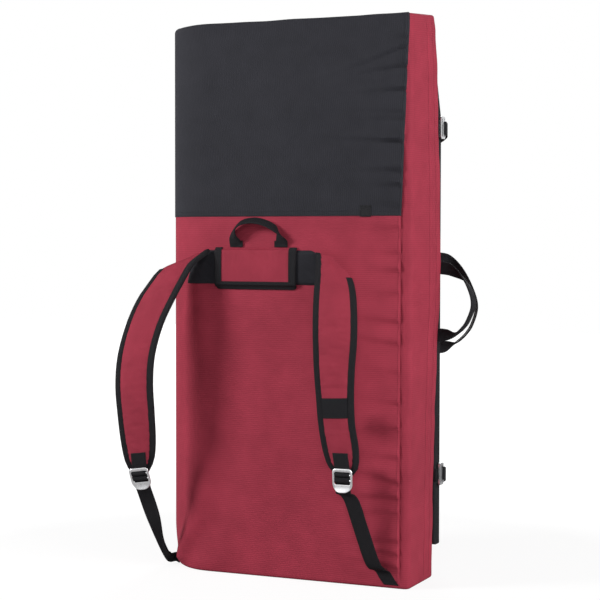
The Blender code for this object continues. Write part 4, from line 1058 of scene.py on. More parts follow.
def make_yoke(material):
    rows = []
    for share in [0.0, 0.012, 0.03, 0.06, 0.1, 0.15, 0.22] + spread(0.3, 0.94, 12) + [0.975, 1.0]:
        corner = yoke_corner * max(1 - share / 0.2, 0.0) ** 2
        left = harness_x - yoke_left - yoke_left_flare * share - yoke_bulge * math.sin(math.pi * share)
        right = harness_x + yoke_right + yoke_right_flare * eased(share * 1.2 - 0.2) - corner
        z = harness_top - yoke_drop - yoke_height * share
        ends = min(share / 0.1, (1 - share) / 0.08)
        row = []
        for x in spread(left + corner * 0.4, right, 54):
            full = eased(min(ends, (x - left) / yoke_edge, (right - x) / yoke_edge))
            slant = math.sin((x * 0.8 + z) * math.tau / yoke_fold_pitch)
            slant *= eased((abs(x - harness_x) - 0.08) / 0.03)
            row.append(face_point(x, z, sewn_gap + (yoke_puff + yoke_fold * slant) * full))
        rows.append(row)
    marks = [[(p.x, p.z) for p in row] for row in rows]
    return thick_sheet("yoke_band", rows, marks, 0.0, yoke_cloth, material)


black_plain = canvas("black_plain_canvas", scaled(black, 0.8), 1.0)
yoke = settle(make_yoke(black_plain), "near_half", "black_canvas", "yoke")

# Sleeve: the red patch that holds the yoke, hemmed to the face above and below. Black tape is
# folded round its sides and lower edge, with one row of stitches.
sleeve_width = 0.17
sleeve_height = 0.078
sleeve_rise = 0.0055
sleeve_crown = 0.0012
sleeve_ripple = 0.0003
sleeve_ripple_pitch = 0.019
sleeve_thickness = 0.0012
sleeve_corner = 0.006
sleeve_tape = 0.014
sleeve_tape_corner = 0.0075
sleeve_tape_wall = 0.0009
sleeve_stitch_inset = 0.0118
sleeve_hem = 0.0035
sleeve_low = harness_top - sleeve_height
sleeve_left = harness_x - sleeve_width / 2
sleeve_right = sleeve_left + sleeve_width
webbing_black = (0.013, 0.0125, 0.0145)
to_front = Vector((0, -1, 0))


def sleeve_point(x, z, out):
    """A point on the patch: down on the face at its hems, and over the yoke between them."""
    share = (z - sleeve_low) / sleeve_height
    rise = eased((share - 0.03) / 0.085) * eased((0.975 - share) / 0.05)
    middle = max(1 - (2 * (x - sleeve_left) / sleeve_width - 1) ** 2, 0.0)
    full = rise * (sleeve_rise + sleeve_crown * math.sin(math.pi * clamped(share)) * middle**0.5)
    ripple = sleeve_ripple * math.sin(x * math.tau / sleeve_ripple_pitch) * rise * (1 - rise * 0.5)
    return face_point(x, z, sewn_gap + full + ripple + out)


def make_sleeve(material):
    rows = []
    marks = []
    for height in [0.0, 0.0006, 0.0015, 0.003, 0.0045, 0.006] + spread(0.009, sleeve_height, 26):
        low = max(sleeve_corner - height, 0.0)
        inset = sleeve_corner - math.sqrt(sleeve_corner**2 - low**2)
        columns = spread(sleeve_left + inset + fit_gap, sleeve_right - inset - fit_gap, 46)
        rows.append([sleeve_point(x, sleeve_low + height, 0.0) for x in columns])
        marks.append([(x, sleeve_low + height) for x in columns])
    return thick_sheet("sleeve_patch", rows, marks, 0.0, sleeve_thickness, material)


def sleeve_edge(corner):
    """Stations along the patch's left, lower and right edges: x, z and the way in."""
    top = sleeve_low + sleeve_height
    centre_z = sleeve_low + corner
    arcs = []
    for centre_x, start in ((sleeve_left + corner, 180), (sleeve_right - corner, 270)):
        turns = [math.radians(start + 10 * k) for k in range(1, 9)]
        away = [(math.cos(a), math.sin(a)) for a in turns]
        arcs.append([(centre_x + corner * x, centre_z + corner * z, -x, -z) for x, z in away])
    left = [(sleeve_left, z, 1, 0) for z in spread(top, centre_z, 16)]
    low = [(x, sleeve_low, 0, 1) for x in spread(sleeve_left + corner, sleeve_right - corner, 30)]
    right = [(sleeve_right, z, -1, 0) for z in spread(centre_z, top, 16)]
    return left + arcs[0] + low + arcs[1] + right


sleeve_stations = sleeve_edge(sleeve_tape_corner)


def make_sleeve_binding(material):
    shares = (0.0, 0.06, 0.15, 0.35, 0.6, 0.85, 1.0)
    rows = []
    for x, z, in_x, in_z in sleeve_stations:
        row = [sleeve_point(x, z, -0.0006)]
        for share in shares:
            reach = sleeve_tape * share
            out = sleeve_thickness + fit_gap + 0.0004 * math.sin(math.pi * share)
            row.append(sleeve_point(x + in_x * reach, z + in_z * reach, out))
        rows.append(row)
    marks = []
    for run in distances([row[0] for row in rows]):
        marks.append([(-0.001, run)] + [(sleeve_tape * share, run) for share in shares])
    return thick_sheet("sleeve_edge_tape", rows, marks, 0.0, sleeve_tape_wall, material)


red_plain = canvas("red_plain_canvas", red, 1.0)
edge_tape = woven("edge_tape", webbing_black, 0.0008, 0.0012, 0.0002)
patch = settle(make_sleeve(red_plain), "near_half", "red_canvas", "harness_sleeve")
settle(make_sleeve_binding(edge_tape), "near_half", "black_webbing", "sleeve_binding")
edge_run = []
for x, z, in_x, in_z in sleeve_stations:
    x += in_x * sleeve_stitch_inset
    z += in_z * sleeve_stitch_inset
    edge_run.append((sleeve_point(x, z, sleeve_thickness + 0.0014), to_front))
hem_z = sleeve_low + sleeve_height - sleeve_hem
hem_stations = spread(sleeve_left + sleeve_tape, sleeve_right - sleeve_tape, 20)
hem_run = [(sleeve_point(x, hem_z, sleeve_thickness), to_front) for x in hem_stations]
stitches("sleeve_tape_stitches", [edge_run], thread_black, "near_half")
stitches("sleeve_hem_stitches", [hem_run], thread_red, "near_half", "red_canvas")

# Cover label: a small woven patch on the black sheet, to the right of the harness. It is left bare,
# and it is sewn down along its four edges.
label_x = fold_x + near_width - 0.085
label_z = colour_line + 0.009
label_width = 0.022
label_height = 0.021
label_thickness = 0.0006
label_margin = 0.07
label_black = (0.012, 0.012, 0.014)
patch_edge = 0.0002


def sheet_patch(name, place, size, counts, thickness, material):
    """A small sheet of that size, whose place function takes shares across and up."""
    columns, rows = (spread(0.0, 1.0, count) for count in counts)
    spots = [[place(across, up) for across in columns] for up in rows]
    marks = [[(size[0] * across, size[1] * up) for across in columns] for up in rows]
    return thick_sheet(name, spots, marks, 0.0, thickness, material, edge=patch_edge)


def walk(corners, count):
    """Places from corner to corner, that many on each line."""
    places = []
    for (x, y), (next_x, next_y) in zip(corners, corners[1:]):
        places += [(x + (next_x - x) * t, y + (next_y - y) * t) for t in spread(0.0, 1.0, count)]
    return places


def border(place, side, end, lift):
    """Stations just inside a patch's four edges."""
    corners = ((side, end), (1 - side, end), (1 - side, 1 - end), (side, 1 - end), (side, end))
    return [(place(across, up, lift), to_front) for across, up in walk(corners, 7)]


def cover_label(across, up, out=0.0):
    x = label_x + label_width * (across - 0.5)
    return face_point(x, label_z + label_height * (up - 0.5), panel_top + fit_gap + out)


label_weave = woven("label_weave", label_black, 0.0005, 0.0006, 0.0001, 0.42)
label_size = (label_width, label_height)
label = sheet_patch("cover_patch", cover_label, label_size, (8, 8), label_thickness, label_weave)
settle(label, "near_half", "black_webbing", "pad_label")
label_run = border(cover_label, label_margin, label_margin, label_thickness)
stitches("cover_patch_stitches", [label_run], thread_black, "near_half")

# Haul handle: a webbing grab loop above the sleeve. Its ends are sewn down flat on the face, and
# the grip between them stands on edge. The shares are of its span, its rise and its turn.
haul_x = -0.036
haul_span = 0.096
haul_rise = 0.048
haul_stand = 0.014
haul_pivot = 0.0026
haul_thickness = 0.0024
webbing_width = 0.025
haul_top_width = 0.02
haul_shares = ((0.0, 0.0, 0.0), (-0.012, 0.26, 0.1), (0.0, 0.52, 0.6), (0.09, 0.81, 1.0))
haul_shares += ((0.26, 0.97, 1.0), (0.5, 1.0, 1.0), (0.74, 0.88, 1.0), (0.93, 0.64, 0.85))
haul_shares += ((1.012, 0.3, 0.2), (1.0, 0.0, 0.0))
haul_lean = 32
grip_crown = 0.0006
tab_width = 0.027
tab_height = 0.012
tab_thickness = 0.0013
tab_lift = 0.0018
tab_inset = 0.001


def grip_piece(name, centres, turns, ways, widths, thickness, material):
    """A webbing grip that turns from lying flat at its ends to standing on edge."""
    acrosses = []
    for turn in turns:
        angle = clamped(turn) * math.pi / 2
        acrosses.append(ways[0] * math.cos(angle) + ways[1] * math.sin(angle))
    return tape(name, centres, acrosses, widths, thickness, material, grip_crown)


def make_haul(material):
    centres = []
    for share, rise, _ in haul_shares:
        x = haul_x + haul_span * (share - 0.5)
        out = 2 * sewn_gap + haul_stand * min(rise * 1.2, 1.0)
        centres.append(face_point(x, harness_top + haul_pivot + haul_rise * rise, out, False))
    turns = [clamped(turn) for turn in smooth_through([turn for _, _, turn in haul_shares], 6)]
    widths = [webbing_width + (haul_top_width - webbing_width) * turn for turn in turns]
    lean = math.radians(haul_lean)
    ways = (Vector((1, 0, 0)), Vector((0, -math.cos(lean), -math.sin(lean))))
    return grip_piece("haul_grip", smooth_through(centres, 6), turns, ways, widths, haul_thickness, material)


webbing_finish = woven("webbing_weave", webbing_black, 0.0013, 0.0021, 0.0004)
settle(make_haul(webbing_finish), "haul_handle", "black_webbing", "haul_handle")
tab_runs = []
for name, side in (("left", -1), ("right", 1)):
    tab_x = haul_x + side * (haul_span / 2 - tab_inset)

    def tab_place(across, up, out=0.0):
        z = harness_top + 0.001 + tab_height * up
        return face_point(tab_x + tab_width * (across - 0.5), z, tab_lift + out)

    tab_size = (tab_width, tab_height)
    tab = sheet_patch("haul_tab_" + name, tab_place, tab_size, (8, 5), tab_thickness, webbing_finish)
    settle(tab, "near_half", "black_webbing")
    tab_runs.append(border(tab_place, 0.08, 0.16, tab_thickness))
stitches("haul_tab_stitches", tab_runs, thread_black, "near_half")

# Shoulder straps: tapered foam pads in red canvas, with black tape folded round the edges. A strap
# comes off the yoke flat, stands clear of the pad like an arch, and turns outwards. The shares are of
# the strap's length: the inner edge's way across, stand-off and drop, and then the outer edge's.
strap_span = 0.44
strap_edge = 0.0022
strap_crown = 0.0036
strap_tuck = 0.0027
strap_end_fade = 0.012
strap_top_fade = 0.02
strap_rows = 33
binding_wall = 0.0012
binding_reach = 0.012
binding_half = strap_edge + fit_gap + binding_wall
outer_binding_share = 0.12
right_strap_shares = (
    (0.29, 0.0, 0.02, 0.36, 0.0, 0.03),
    (0.295, 0.014, 0.06, 0.405, 0.004, 0.068),
    (0.301, 0.032, 0.11, 0.452, 0.008, 0.116),
    (0.304, 0.055, 0.176, 0.48, 0.026, 0.178),
    (0.311, 0.082, 0.266, 0.498, 0.054, 0.268),
    (0.317, 0.096, 0.38, 0.505, 0.072, 0.38),
    (0.322, 0.096, 0.5, 0.498, 0.077, 0.495),
    (0.33, 0.091, 0.616, 0.494, 0.077, 0.61),
    (0.337, 0.082, 0.733, 0.497, 0.073, 0.726),
    (0.352, 0.073, 0.834, 0.511, 0.066, 0.826),
    (0.374, 0.066, 0.905, 0.509, 0.062, 0.906),
    (0.412, 0.062, 0.944, 0.484, 0.062, 0.943),
)
left_strap_shares = (
    (-0.218, 0.0, 0.012, -0.285, 0.0, 0.034),
    (-0.229, 0.034, 0.035, -0.36, 0.022, 0.066),
    (-0.262, 0.066, 0.071, -0.44, 0.044, 0.102),
    (-0.29, 0.102, 0.144, -0.485, 0.076, 0.169),
    (-0.314, 0.13, 0.208, -0.522, 0.104, 0.238),
    (-0.358, 0.162, 0.324, -0.553, 0.144, 0.345),
    (-0.39, 0.18, 0.457, -0.575, 0.176, 0.475),
    (-0.4, 0.18, 0.582, -0.578, 0.19, 0.6),
    (-0.4, 0.167, 0.704, -0.571, 0.185, 0.722),
    (-0.406, 0.144, 0.832, -0.564, 0.167, 0.85),
    (-0.423, 0.126, 0.92, -0.552, 0.149, 0.938),
    (-0.455, 0.115, 0.975, -0.53, 0.128, 0.985),
)
pad_rows = 111
pad_columns = 19
pad_gather = 0.0005
pad_wander = 0.0006
fill_pressure = 5.0
fill_slack = 0.015
fill_limit = 0.004
fill_steps = 20
strap_label_height = 0.037
strap_label_share = 0.7


class Strap:
    """One shoulder strap's middle surface, read down its rows and across its width."""

    def __init__(self, shares):
        first = harness_x + shares[0][0] * strap_span
        seat = face_point(first, harness_top, sewn_gap + yoke_thickness + 2 * fit_gap + binding_half, False)
        edges = []
        for start in (0, 3):
            points = []
            for share in shares:
                side, out, drop = (strap_span * part for part in share[start : start + 3])
                points.append(Vector((harness_x + side, seat.y - out, harness_top - drop)))
            edges.append(smooth_through(points, 6))
        inner, outer = edges
        reached = distances([(a + b) / 2 for a, b in zip(inner, outer)])
        self.length = reached[-1]
        self.rows = []
        for distance in spread(0.0, self.length, strap_rows + 1):
            k = max(i for i in range(len(reached) - 1) if reached[i] <= distance)
            t = (distance - reached[k]) / (reached[k + 1] - reached[k])
            self.rows.append((inner[k].lerp(inner[k + 1], t), outer[k].lerp(outer[k + 1], t)))

    def row(self, share):
        """Both edges at that share of the way down."""
        place = clamped(share) * strap_rows
        k = min(int(place), strap_rows - 1)
        (inner, outer), (next_inner, next_outer) = self.rows[k], self.rows[k + 1]
        return inner.lerp(next_inner, place - k), outer.lerp(next_outer, place - k)

    def width(self, share):
        inner, outer = self.row(share)
        return (outer - inner).length

    def axes(self, share):
        """Directions at that share of the way down: across, down and out of the strap."""
        inner, outer = self.row(share)
        above = sum(self.row(share - 1 / strap_rows), Vector())
        below = sum(self.row(share + 1 / strap_rows), Vector())
        across = (outer - inner).normalized()
        down = (below - above).normalized()
        down = (down - across * down.dot(across)).normalized()
        out = across.cross(down).normalized()
        return across, down, -out if out.y > 0 else out

    def bound(self, share):
        """The share of the width that the tape covers at each edge."""
        return min(binding_reach / self.width(share), 0.3)

    def rise(self, share, across_share):
        """Half the padding's thickness: pinched in the tape and full in the middle."""
        bound = self.bound(share)
        middle = clamped((across_share - bound * 0.7) / (1 - 1.4 * bound))
        to_end = (1 - share) * self.length / strap_end_fade - 1
        fade = clamped(min(to_end, share * self.length / strap_top_fade))
        return strap_edge + strap_crown * eased(fade) * math.sin(math.pi * middle) ** 0.6

    def point(self, share, across_share, out):
        inner, outer = self.row(share)
        return inner.lerp(outer, across_share) + self.axes(share)[2] * out


def make_pad(name, strap, seed, material):
    """The padding: a front and a back skin, pinched at the edges and gathered along the tape."""
    tuck = strap_tuck / strap.length
    columns = [0.5 - 0.5 * math.cos(angle) for angle in spread(0.0, math.pi, pad_columns)]
    rings = []
    marks = []
    for share in spread(tuck, 1 - tuck, pad_rows):
        width = strap.width(share)
        run = share * strap.length
        edge = strap_tuck / width
        ring = []
        row_marks = []
        for face in (1, -1):
            for column in columns[::face]:
                across = edge + (1 - 2 * edge) * column
                rise = strap.rise(share, across)
                outer = column > 0.5
                gather = hill(min(column, 1 - column) * width, 0.011, 0.007)
                rise += pad_gather * gather * wave(seed + outer, run + (0.004 if outer else 0), 0.0065)
                full = (rise - strap_edge) / strap_crown
                rise += pad_wander * wave(seed + 3, run + column * 0.01, 0.03) * full
                if face < 0:
                    rise = min(rise, strap_edge + strap_crown * 0.75)
                ring.append(strap.point(share, across, rise * face))
                row_marks.append((across * width + (0 if face > 0 else 0.2), run))
        rings.append(ring)
        marks.append(row_marks)
    return shell(name, rings, marks, material)


def make_pad_binding(name, strap, material):
    """Folded tape down one edge, round the lower end and up the other edge."""
    half = binding_half
    slot = half - binding_wall
    path = [(k / 99, 0.0, 0, 1) for k in range(99)]
    path += [(1.0, 0.0, 1, 1)] + [(1.0, share, 1, 0) for share in spread(0.15, 0.85, 6)] + [(1.0, 1.0, 1, -1)]
    path += [(k / 99, 1.0, 0, -1) for k in range(98, round(outer_binding_share * 99) - 1, -1)]
    lip = [(1.0, slot, 0), (1.0, half - 0.0003, 0.0001), (1.0, half, -0.0004), (0.6, half + 0.0004, 0)]
    lip += [(0.3, half + 0.0002, 0), (0.0, half - 0.0002, 0.0012), (0.0, half * 0.7, 0.0004)]
    section = lip + [(0.0, 0.0, 0.0)] + [(part, -out, shift) for part, out, shift in reversed(lip)]
    section += [(0.0, -slot, binding_wall), (0.0, slot, binding_wall)]
    rings = []
    reaches = []
    for share, across_share, up, inwards in path:
        width = strap.width(share)
        reach = strap.bound(share) * width
        end_reach = min(reach, binding_reach * 0.6)
        ring = []
        for part, out, shift in section:
            down_share = share - up * (part * end_reach + shift) / strap.length
            cross_share = across_share + inwards * (part * reach + shift) / width
            ring.append(strap.point(down_share, cross_share, out))
        rings.append(ring)
        reaches.append([part * reach + shift for part, _, shift in section])
    runs = distances([ring[len(lip)] for ring in rings])
    marks = [[(mark, run) for mark in row] for row, run in zip(reaches, runs)]
    return shell(name, rings, marks, material)


def binding_run(strap, face):
    """Stations for the stitches along a strap's tape, on its front or its back."""
    lift = (binding_half + 0.0003) * face
    inner = []
    outer = []
    for share in spread(0.02, 0.985, 90):
        inset = strap.bound(share) * 0.84
        out = strap.axes(share)[2] * face
        inner.append((strap.point(share, inset, lift), out))
        if share > outer_binding_share + 0.01:
            outer.append((strap.point(share, 1 - inset, lift), out))
    return [inner, outer]


def held_points(labelled):
    """The pad's points that stay: at its bound edges, at both ends and under the label."""
    held = []
    for row in range(pad_rows):
        under_label = labelled and 0.6 < row / pad_rows < 0.8
        for spot in range(2 * pad_columns):
            column = spot % pad_columns
            at_edge = min(column, pad_columns - 1 - column) < 5
            if at_edge or row < 3 or row > pad_rows - 4 or under_label:
                held.append(row * 2 * pad_columns + spot)
    return held


def puff_up(piece, held):
    """Fills a sewn shell by a cloth simulation: the held points stay, the rest swells and wrinkles."""
    group = piece.vertex_groups.new(name="held")
    group.add(held, 1.0, "REPLACE")
    before = [point.co.copy() for point in piece.data.vertices]
    cloth = piece.modifiers.new("filling", "CLOTH")
    cloth.settings.quality = 6
    cloth.settings.mass = 0.2
    cloth.settings.vertex_group_mass = "held"
    cloth.settings.use_pressure = True
    cloth.settings.uniform_pressure_force = fill_pressure
    cloth.settings.shrink_min = -fill_slack
    cloth.settings.bending_stiffness = 0.4
    cloth.settings.effector_weights.gravity = 0
    cloth.collision_settings.use_collision = False
    for step in range(1, fill_steps + 1):
        bpy.context.scene.frame_set(step)
    swollen = piece.evaluated_get(bpy.context.evaluated_depsgraph_get()).to_mesh()
    after = [point.co.copy() for point in swollen.vertices]
    piece.modifiers.remove(cloth)
    piece.vertex_groups.remove(group)
    for point, start, end in zip(piece.data.vertices, before, after):
        move = end - start
        point.co = start + move * min(1.0, fill_limit / max(move.length, 1e-9))
    bpy.context.scene.frame_set(1)


straps = {"right": Strap(right_strap_shares), "left": Strap(left_strap_shares)}
for seed, (side, strap) in zip((20, 29), straps.items()):
    body = "strap_" + side
    pad = make_pad("shoulder_pad_" + side, strap, seed, red_plain)
    settle(pad, body, "red_canvas", "strap_pad_" + side)
    puff_up(pad, held_points(side == "right"))
    binding = make_pad_binding("shoulder_tape_" + side, strap, edge_tape)
    settle(binding, body, "black_webbing", "strap_binding_" + side)
    runs = binding_run(strap, 1) + binding_run(strap, -1)
    stitches("shoulder_stitches_" + side, runs, thread_black, body)

# The right strap's shadow from the side lamp would lie beside it on the face, where there is none.
unshaded = bpy.data.collections.new("casts_no_side_shadow")
for name in ("shoulder_pad_right", "shoulder_tape_right", "shoulder_stitches_right"):
    unshaded.objects.link(bpy.data.objects[name])
for entry in unshaded.collection_objects:
    entry.light_linking.link_state = "EXCLUDE"
key_lamp.light_linking.blocker_collection = unshaded


# Strap label: a woven patch across the right strap between its tapes, left bare, sewn down along
# its upper and lower edges.
def strap_patch(across, up, out=0.0):
    strap = straps["right"]
    share = strap_label_share + (0.5 - up) * strap_label_height / strap.length
    margin = strap.bound(share) - 0.0006 / strap.width(share)
    side = margin + (1 - 2 * margin) * across
    return strap.point(share, side, strap.rise(share, side) + 0.0005 + out)


label_size = (0.044, strap_label_height)
label = sheet_patch("shoulder_patch", strap_patch, label_size, (20, 14), label_thickness, label_weave)
settle(label, "strap_right", "black_webbing", "strap_label")
label_runs = []
for up in (0.05, 0.95):
    label_runs.append([(strap_patch(a, up, label_thickness), to_front) for a in spread(0.03, 0.97, 16)])
stitches("shoulder_patch_stitches", label_runs, thread_black, "strap_right")

# Ladder-locks: bent aluminium buckles. Each hangs on a stub of webbing that is folded round its
# upper bar and sewn to the strap's end.
lock_width = 0.0392
lock_height = 0.046
lock_top_corner = 0.007
lock_low_corner = 0.016
lock_opening = 0.0301
opening_top_corner = 0.003
opening_low_corner = 0.0025
lock_frame_height = 0.0438
lock_lip_bend = 0.0045
lock_lip_dip = 0.001
lock_thickness = 0.0028
lock_top = 0.007
lock_bar = 0.0034
lock_slot = 0.003
lock_window = 0.0066
lock_low_window = 0.006
lock_stand = 0.0062
lock_set_back = 0.0028
lock_surface = 0.005
rail_shares = (0.0, 0.03, 0.1, 0.22, 0.4, 0.6, 0.78, 0.9, 0.97, 1.0)
bar_sides = 16
stub_length = 0.04
ply_gap = 0.0005
webbing_thickness = 0.0014
webbing_ply = webbing_thickness + ply_gap
strap_webbing = 0.0292


class LockFrame:
    """Axes of a ladder-lock on its strap: a across, d down the strap and o out of it."""

    def __init__(self, strap):
        self.strap = strap
        self.place = 1 - lock_set_back / strap.length
        self.across, self.down, self.out = strap.axes(self.place)
        if self.across.x < 0:
            self.across = -self.across
        self.origin = strap.point(self.place, 0.5, lock_surface + lock_stand)

    def point(self, a, d, o):
        return self.origin + self.across * a + self.down * d + self.out * o

    def on_strap(self, d, o):
        """A point above the lock's bar that follows the strap's own curve."""
        share = self.place + d / self.strap.length
        return self.strap.point(share, 0.5, lock_surface + lock_stand + o)


def bar_turn(bar, thickness):
    """Radius of webbing's middle as it turns round a bar."""
    return math.hypot(bar, thickness) / 2 + fit_gap + webbing_thickness / 2


def make_stub(name, lock, material):
    back = -lock_stand + fit_gap + webbing_thickness / 2
    turn = bar_turn(lock_bar, lock_thickness)
    sewn_shares = (0.4, 0.55, 0.7, 0.85, 1)
    points = [lock.on_strap(-stub_length * share, back) for share in reversed(sewn_shares)]
    points.append(lock.on_strap(-turn * 1.8, back))
    for angle in spread(math.radians(-60), math.radians(90), 7):
        points.append(lock.point(0, turn * math.cos(angle), turn * math.sin(angle)))
    slot = -(lock_bar + lock_slot) / 2
    for d, o in ((slot * 0.8, turn * 0.75), (slot, 0.0), (slot * 1.3, back + webbing_ply * 1.1)):
        points.append(lock.point(0, d, o))
    points += [lock.on_strap(-stub_length * share, back + webbing_ply) for share in sewn_shares]
    centres = smooth_through(points, 3)
    acrosses = [lock.across] * len(centres)
    return tape(name, centres, acrosses, strap_webbing, webbing_thickness, material)


def stub_box(lock):
    """Stations of the sewn box that holds the stub on the strap."""
    top = -lock_stand + fit_gap + webbing_thickness + webbing_ply + 0.0001
    run = []
    for a, d in walk(((-1, 0.96), (1, 0.96), (1, 0.5), (-1, 0.5), (-1, 0.96)), 6):
        spot = lock.on_strap(-stub_length * d, top) + lock.across * (a * webbing_width * 0.42)
        run.append((spot, lock.out))
    return run


def lock_ring(half_width, top, low, top_corner, low_corner):
    """Stations round the frame's outline or its opening: across and down."""
    ring = []
    corners = ((half_width, top, top_corner, -90), (half_width, low, low_corner, 0))
    corners += ((-half_width, low, low_corner, 90), (-half_width, top, top_corner, 180))
    for a, d, radius, start in corners:
        centre_a = a - math.copysign(radius, a)
        centre_d = d + radius if d == top else d - radius
        for k in range(9):
            angle = math.radians(start + 90 * k / 8)
            ring.append((centre_a + radius * math.cos(angle), centre_d + radius * math.sin(angle)))
    return ring


def make_lock_frame(name, lock, material):
    """A cast frame with rounded rails, a lip that bends out at its end, and two bars across."""
    opening_top = -lock_bar / 2 - lock_slot
    top = opening_top - lock_top
    opening_low = lock_bar * 1.5 + lock_window + lock_low_window
    low = top + lock_frame_height
    outer = lock_ring(lock_width / 2, top, low, lock_top_corner, lock_low_corner)
    inner = lock_ring(lock_opening / 2, opening_top, opening_low, opening_top_corner, opening_low_corner)
    half = lock_thickness / 2
    rings = []
    for (a, d), (inner_a, inner_d) in zip(outer, inner):
        section = []
        for share in rail_shares:
            rise = half * max(1 - abs(2 * share - 1) ** 3, 0) ** 0.5
            section.append((a + (inner_a - a) * share, d + (inner_d - d) * share, rise))
        section += [(across, down, -rise) for across, down, rise in section[-2:0:-1]]
        ring = []
        for across, down, rise in section:
            way = max(down - opening_low, 0) / (low - opening_low)
            bend = lock_lip_bend * way**2 - lock_lip_dip * math.sin(math.pi * way)
            ring.append(lock.point(across, down, rise + bend))
        rings.append(ring)
    shape = bmesh.new()
    join_rings(shape, rings, closed=True)
    turns = [math.tau * k / bar_sides for k in range(bar_sides)]
    side = lock_opening / 2 + 0.001
    for middle in (0.0, lock_bar + lock_window):
        section = [(middle + lock_bar / 2 * math.cos(t), half * 0.95 * math.sin(t)) for t in turns]
        join_rings(shape, [[lock.point(a, d, o) for d, o in section] for a in (-side, side)])
    return mesh_piece(name, shape, material)


locks = {side: LockFrame(strap) for side, strap in straps.items()}
for side, lock in locks.items():
    stub = make_stub("buckle_stub_" + side, lock, webbing_finish)
    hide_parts("lock_stub_" + side)
    sewn_end = tuple(lock.on_strap(-stub_length, -lock_stand))
    tuple(lock.origin)
    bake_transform(stub)
    stitches("buckle_stub_stitches_" + side, [stub_box(lock)], thread_black, "strap_" + side)
    buckle = make_lock_frame("buckle_frame_" + side, lock, aluminium)
    settle(buckle, "ladder_lock_" + side, "aluminium", "ladder_lock_" + side)

# Adjusting webbing: sewn to the pad's lower corner, up behind the buckle's lip, over its middle bar
# and down behind itself as the tail. The shares are of the way from the lip to the pad, across and
# out, and for the sewn end of the half's width and height, with the lift off the cover.
fall_shares = {
    "right": ((0.0874, 0.0506, -0.01, 0), (0.4621, 0.0064, 0.0239, 0), (0.9093, -0.0371, 0.072, 0)),
    "left": (
        (0.1942, -0.012, 0.0166, 0), (0.5028, -0.005, 0.09, 0),
        (0.8, -0.045, 0.08, 0.02), (0.93, -0.03, 0.06, 0.045),
    ),
}
anchor_shares = {
    "right": ((0.9039, 0.0308, 9.0), (0.9189, 0.01863, 3.0), (0.9355, 0.0069, 1.0)),
    "left": ((0.046, 0.0135, 22.0), (0.053, 0.0128, 9.0), (0.0638, 0.0125, 1.0)),
}
anchor_lean = {"right": 0, "left": 48}
anchor_lift = 0.0004
tail_share = 0.62
tail_spread = 0.0016
fall_crown = 0.0002


def make_fall(side, lock, material):
    """The webbing's whole run, and the places where it leaves the pad and reaches the buckle."""
    slot = -lock_bar / 2 - lock_slot
    upper_end = lock_bar / 2 + lock_window
    lower = upper_end + lock_bar
    lower_end = lower + lock_low_window
    half = webbing_thickness / 2
    front_o = lock_thickness / 2 + ply_gap + half
    tail_behind = -front_o - webbing_ply
    lean = math.radians(anchor_lean[side])
    reach = webbing_width / 2
    anchors = []
    tangents = []
    for across_share, height_share, lift in anchor_shares[side]:
        x = fold_x + across_share * near_width
        p = face_point(x, height_share * pad_height, anchor_lift * lift + half, False)
        right = face_point(p.x + reach, p.z, 0.0, False)
        level = (right - face_point(p.x - reach, p.z, 0.0, False)).normalized()
        anchors.append(p)
        tangents.append(level * math.cos(lean) + upright * math.sin(lean))
    lip = lock.point(0, slot - lock_top + lock_height, -front_o)
    distance = (anchors[0] - lip).length
    free = []
    for way, aside, out, drop in fall_shares[side]:
        free.append(lip.lerp(anchors[0], way) + Vector((aside, -out, -drop)) * distance)
    across = [lock.across, lock.across]
    for k in range(1, len(free)):
        across.append(lock.across.lerp(tangents[0], min(0.4 * k + 0.05, 0.95)))
    line = smooth_through([lip] + free + anchors, 3)
    turns = smooth_through(across + tangents, 3)
    main = [(point, turn.normalized()) for point, turn in zip(line, turns)]
    count = len(line) - 1
    tail = []
    for k in range(int(count * tail_share), -1, -1):
        point, way = main[k]
        ahead = main[k + 1][0] - main[max(k - 1, 0)][0]
        normal = way.cross(ahead).normalized()
        if normal.dot(lock.out) > 0:
            normal = -normal
        tail.append((point + normal * (webbing_ply + tail_spread * min(k / count, 0.5)), way))
    clear = half + 2 * fit_gap
    loop = (
        (lower_end, tail_behind),
        (upper_end + half, tail_behind),
        (upper_end - clear * 1.9, tail_behind * 0.75),
        (upper_end - clear * 2.9, -front_o * 0.1),
        (upper_end - clear * 1.3, front_o * 0.9),
        ((upper_end + lower) / 2, front_o),
        (lower + half * 0.4, front_o),
        (lower + lock_low_window * 0.45, -front_o * 0.1),
        (lower_end - clear * 0.7, -front_o),
        (lower_end + lock_low_window * 0.4, -front_o),
    )
    whole = tail + [(lock.point(0, d, o), lock.across) for d, o in loop] + main
    centres = smooth_through([point for point, _ in whole], 3)
    acrosses = smooth_through([way for _, way in whole], 3)
    name = "adjusting_webbing_" + side
    piece = tape(name, centres, acrosses, strap_webbing, webbing_thickness, material, fall_crown)
    return piece, anchors[0], lip


for side, lock in locks.items():
    fall, anchor, lip = make_fall(side, lock, webbing_finish)
    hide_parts("lower_webbing_" + side)
    tuple(anchor)
    tuple(lip)
    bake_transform(fall)

# Closure flap: a padded red flap sewn to the far half's side. It closes over the open side, and its
# free edge and a wide band of black tape lie along the near half's rear edge.
flap_thickness = 0.004
flap_slot_gap = 0.0008
flap_low = 0.06
flap_top = 0.985
flap_corner = 0.01
flap_tuck = 0.016
flap_tuck_z = 0.87
flap_step = 0.06
flap_shares = ((-0.02, 0.03), (0.0, 0.2), (-0.17, 0.39), (-0.5, 0.66))
flap_root_share = 0.86
flap_hinge_gap = 0.0003
flap_tape = 0.025
flap_tape_wall = 0.001
flap_tape_lip = 0.0002
flap_surface = flap_thickness / 2 + flap_slot_gap + flap_tape_wall
flap_edge = 0.0013
flap_padding = 0.0009
flap_end_fade = 0.012
flap_side_fade = 0.01
flap_hollow = 0.0045
flap_hollow_z = 0.83


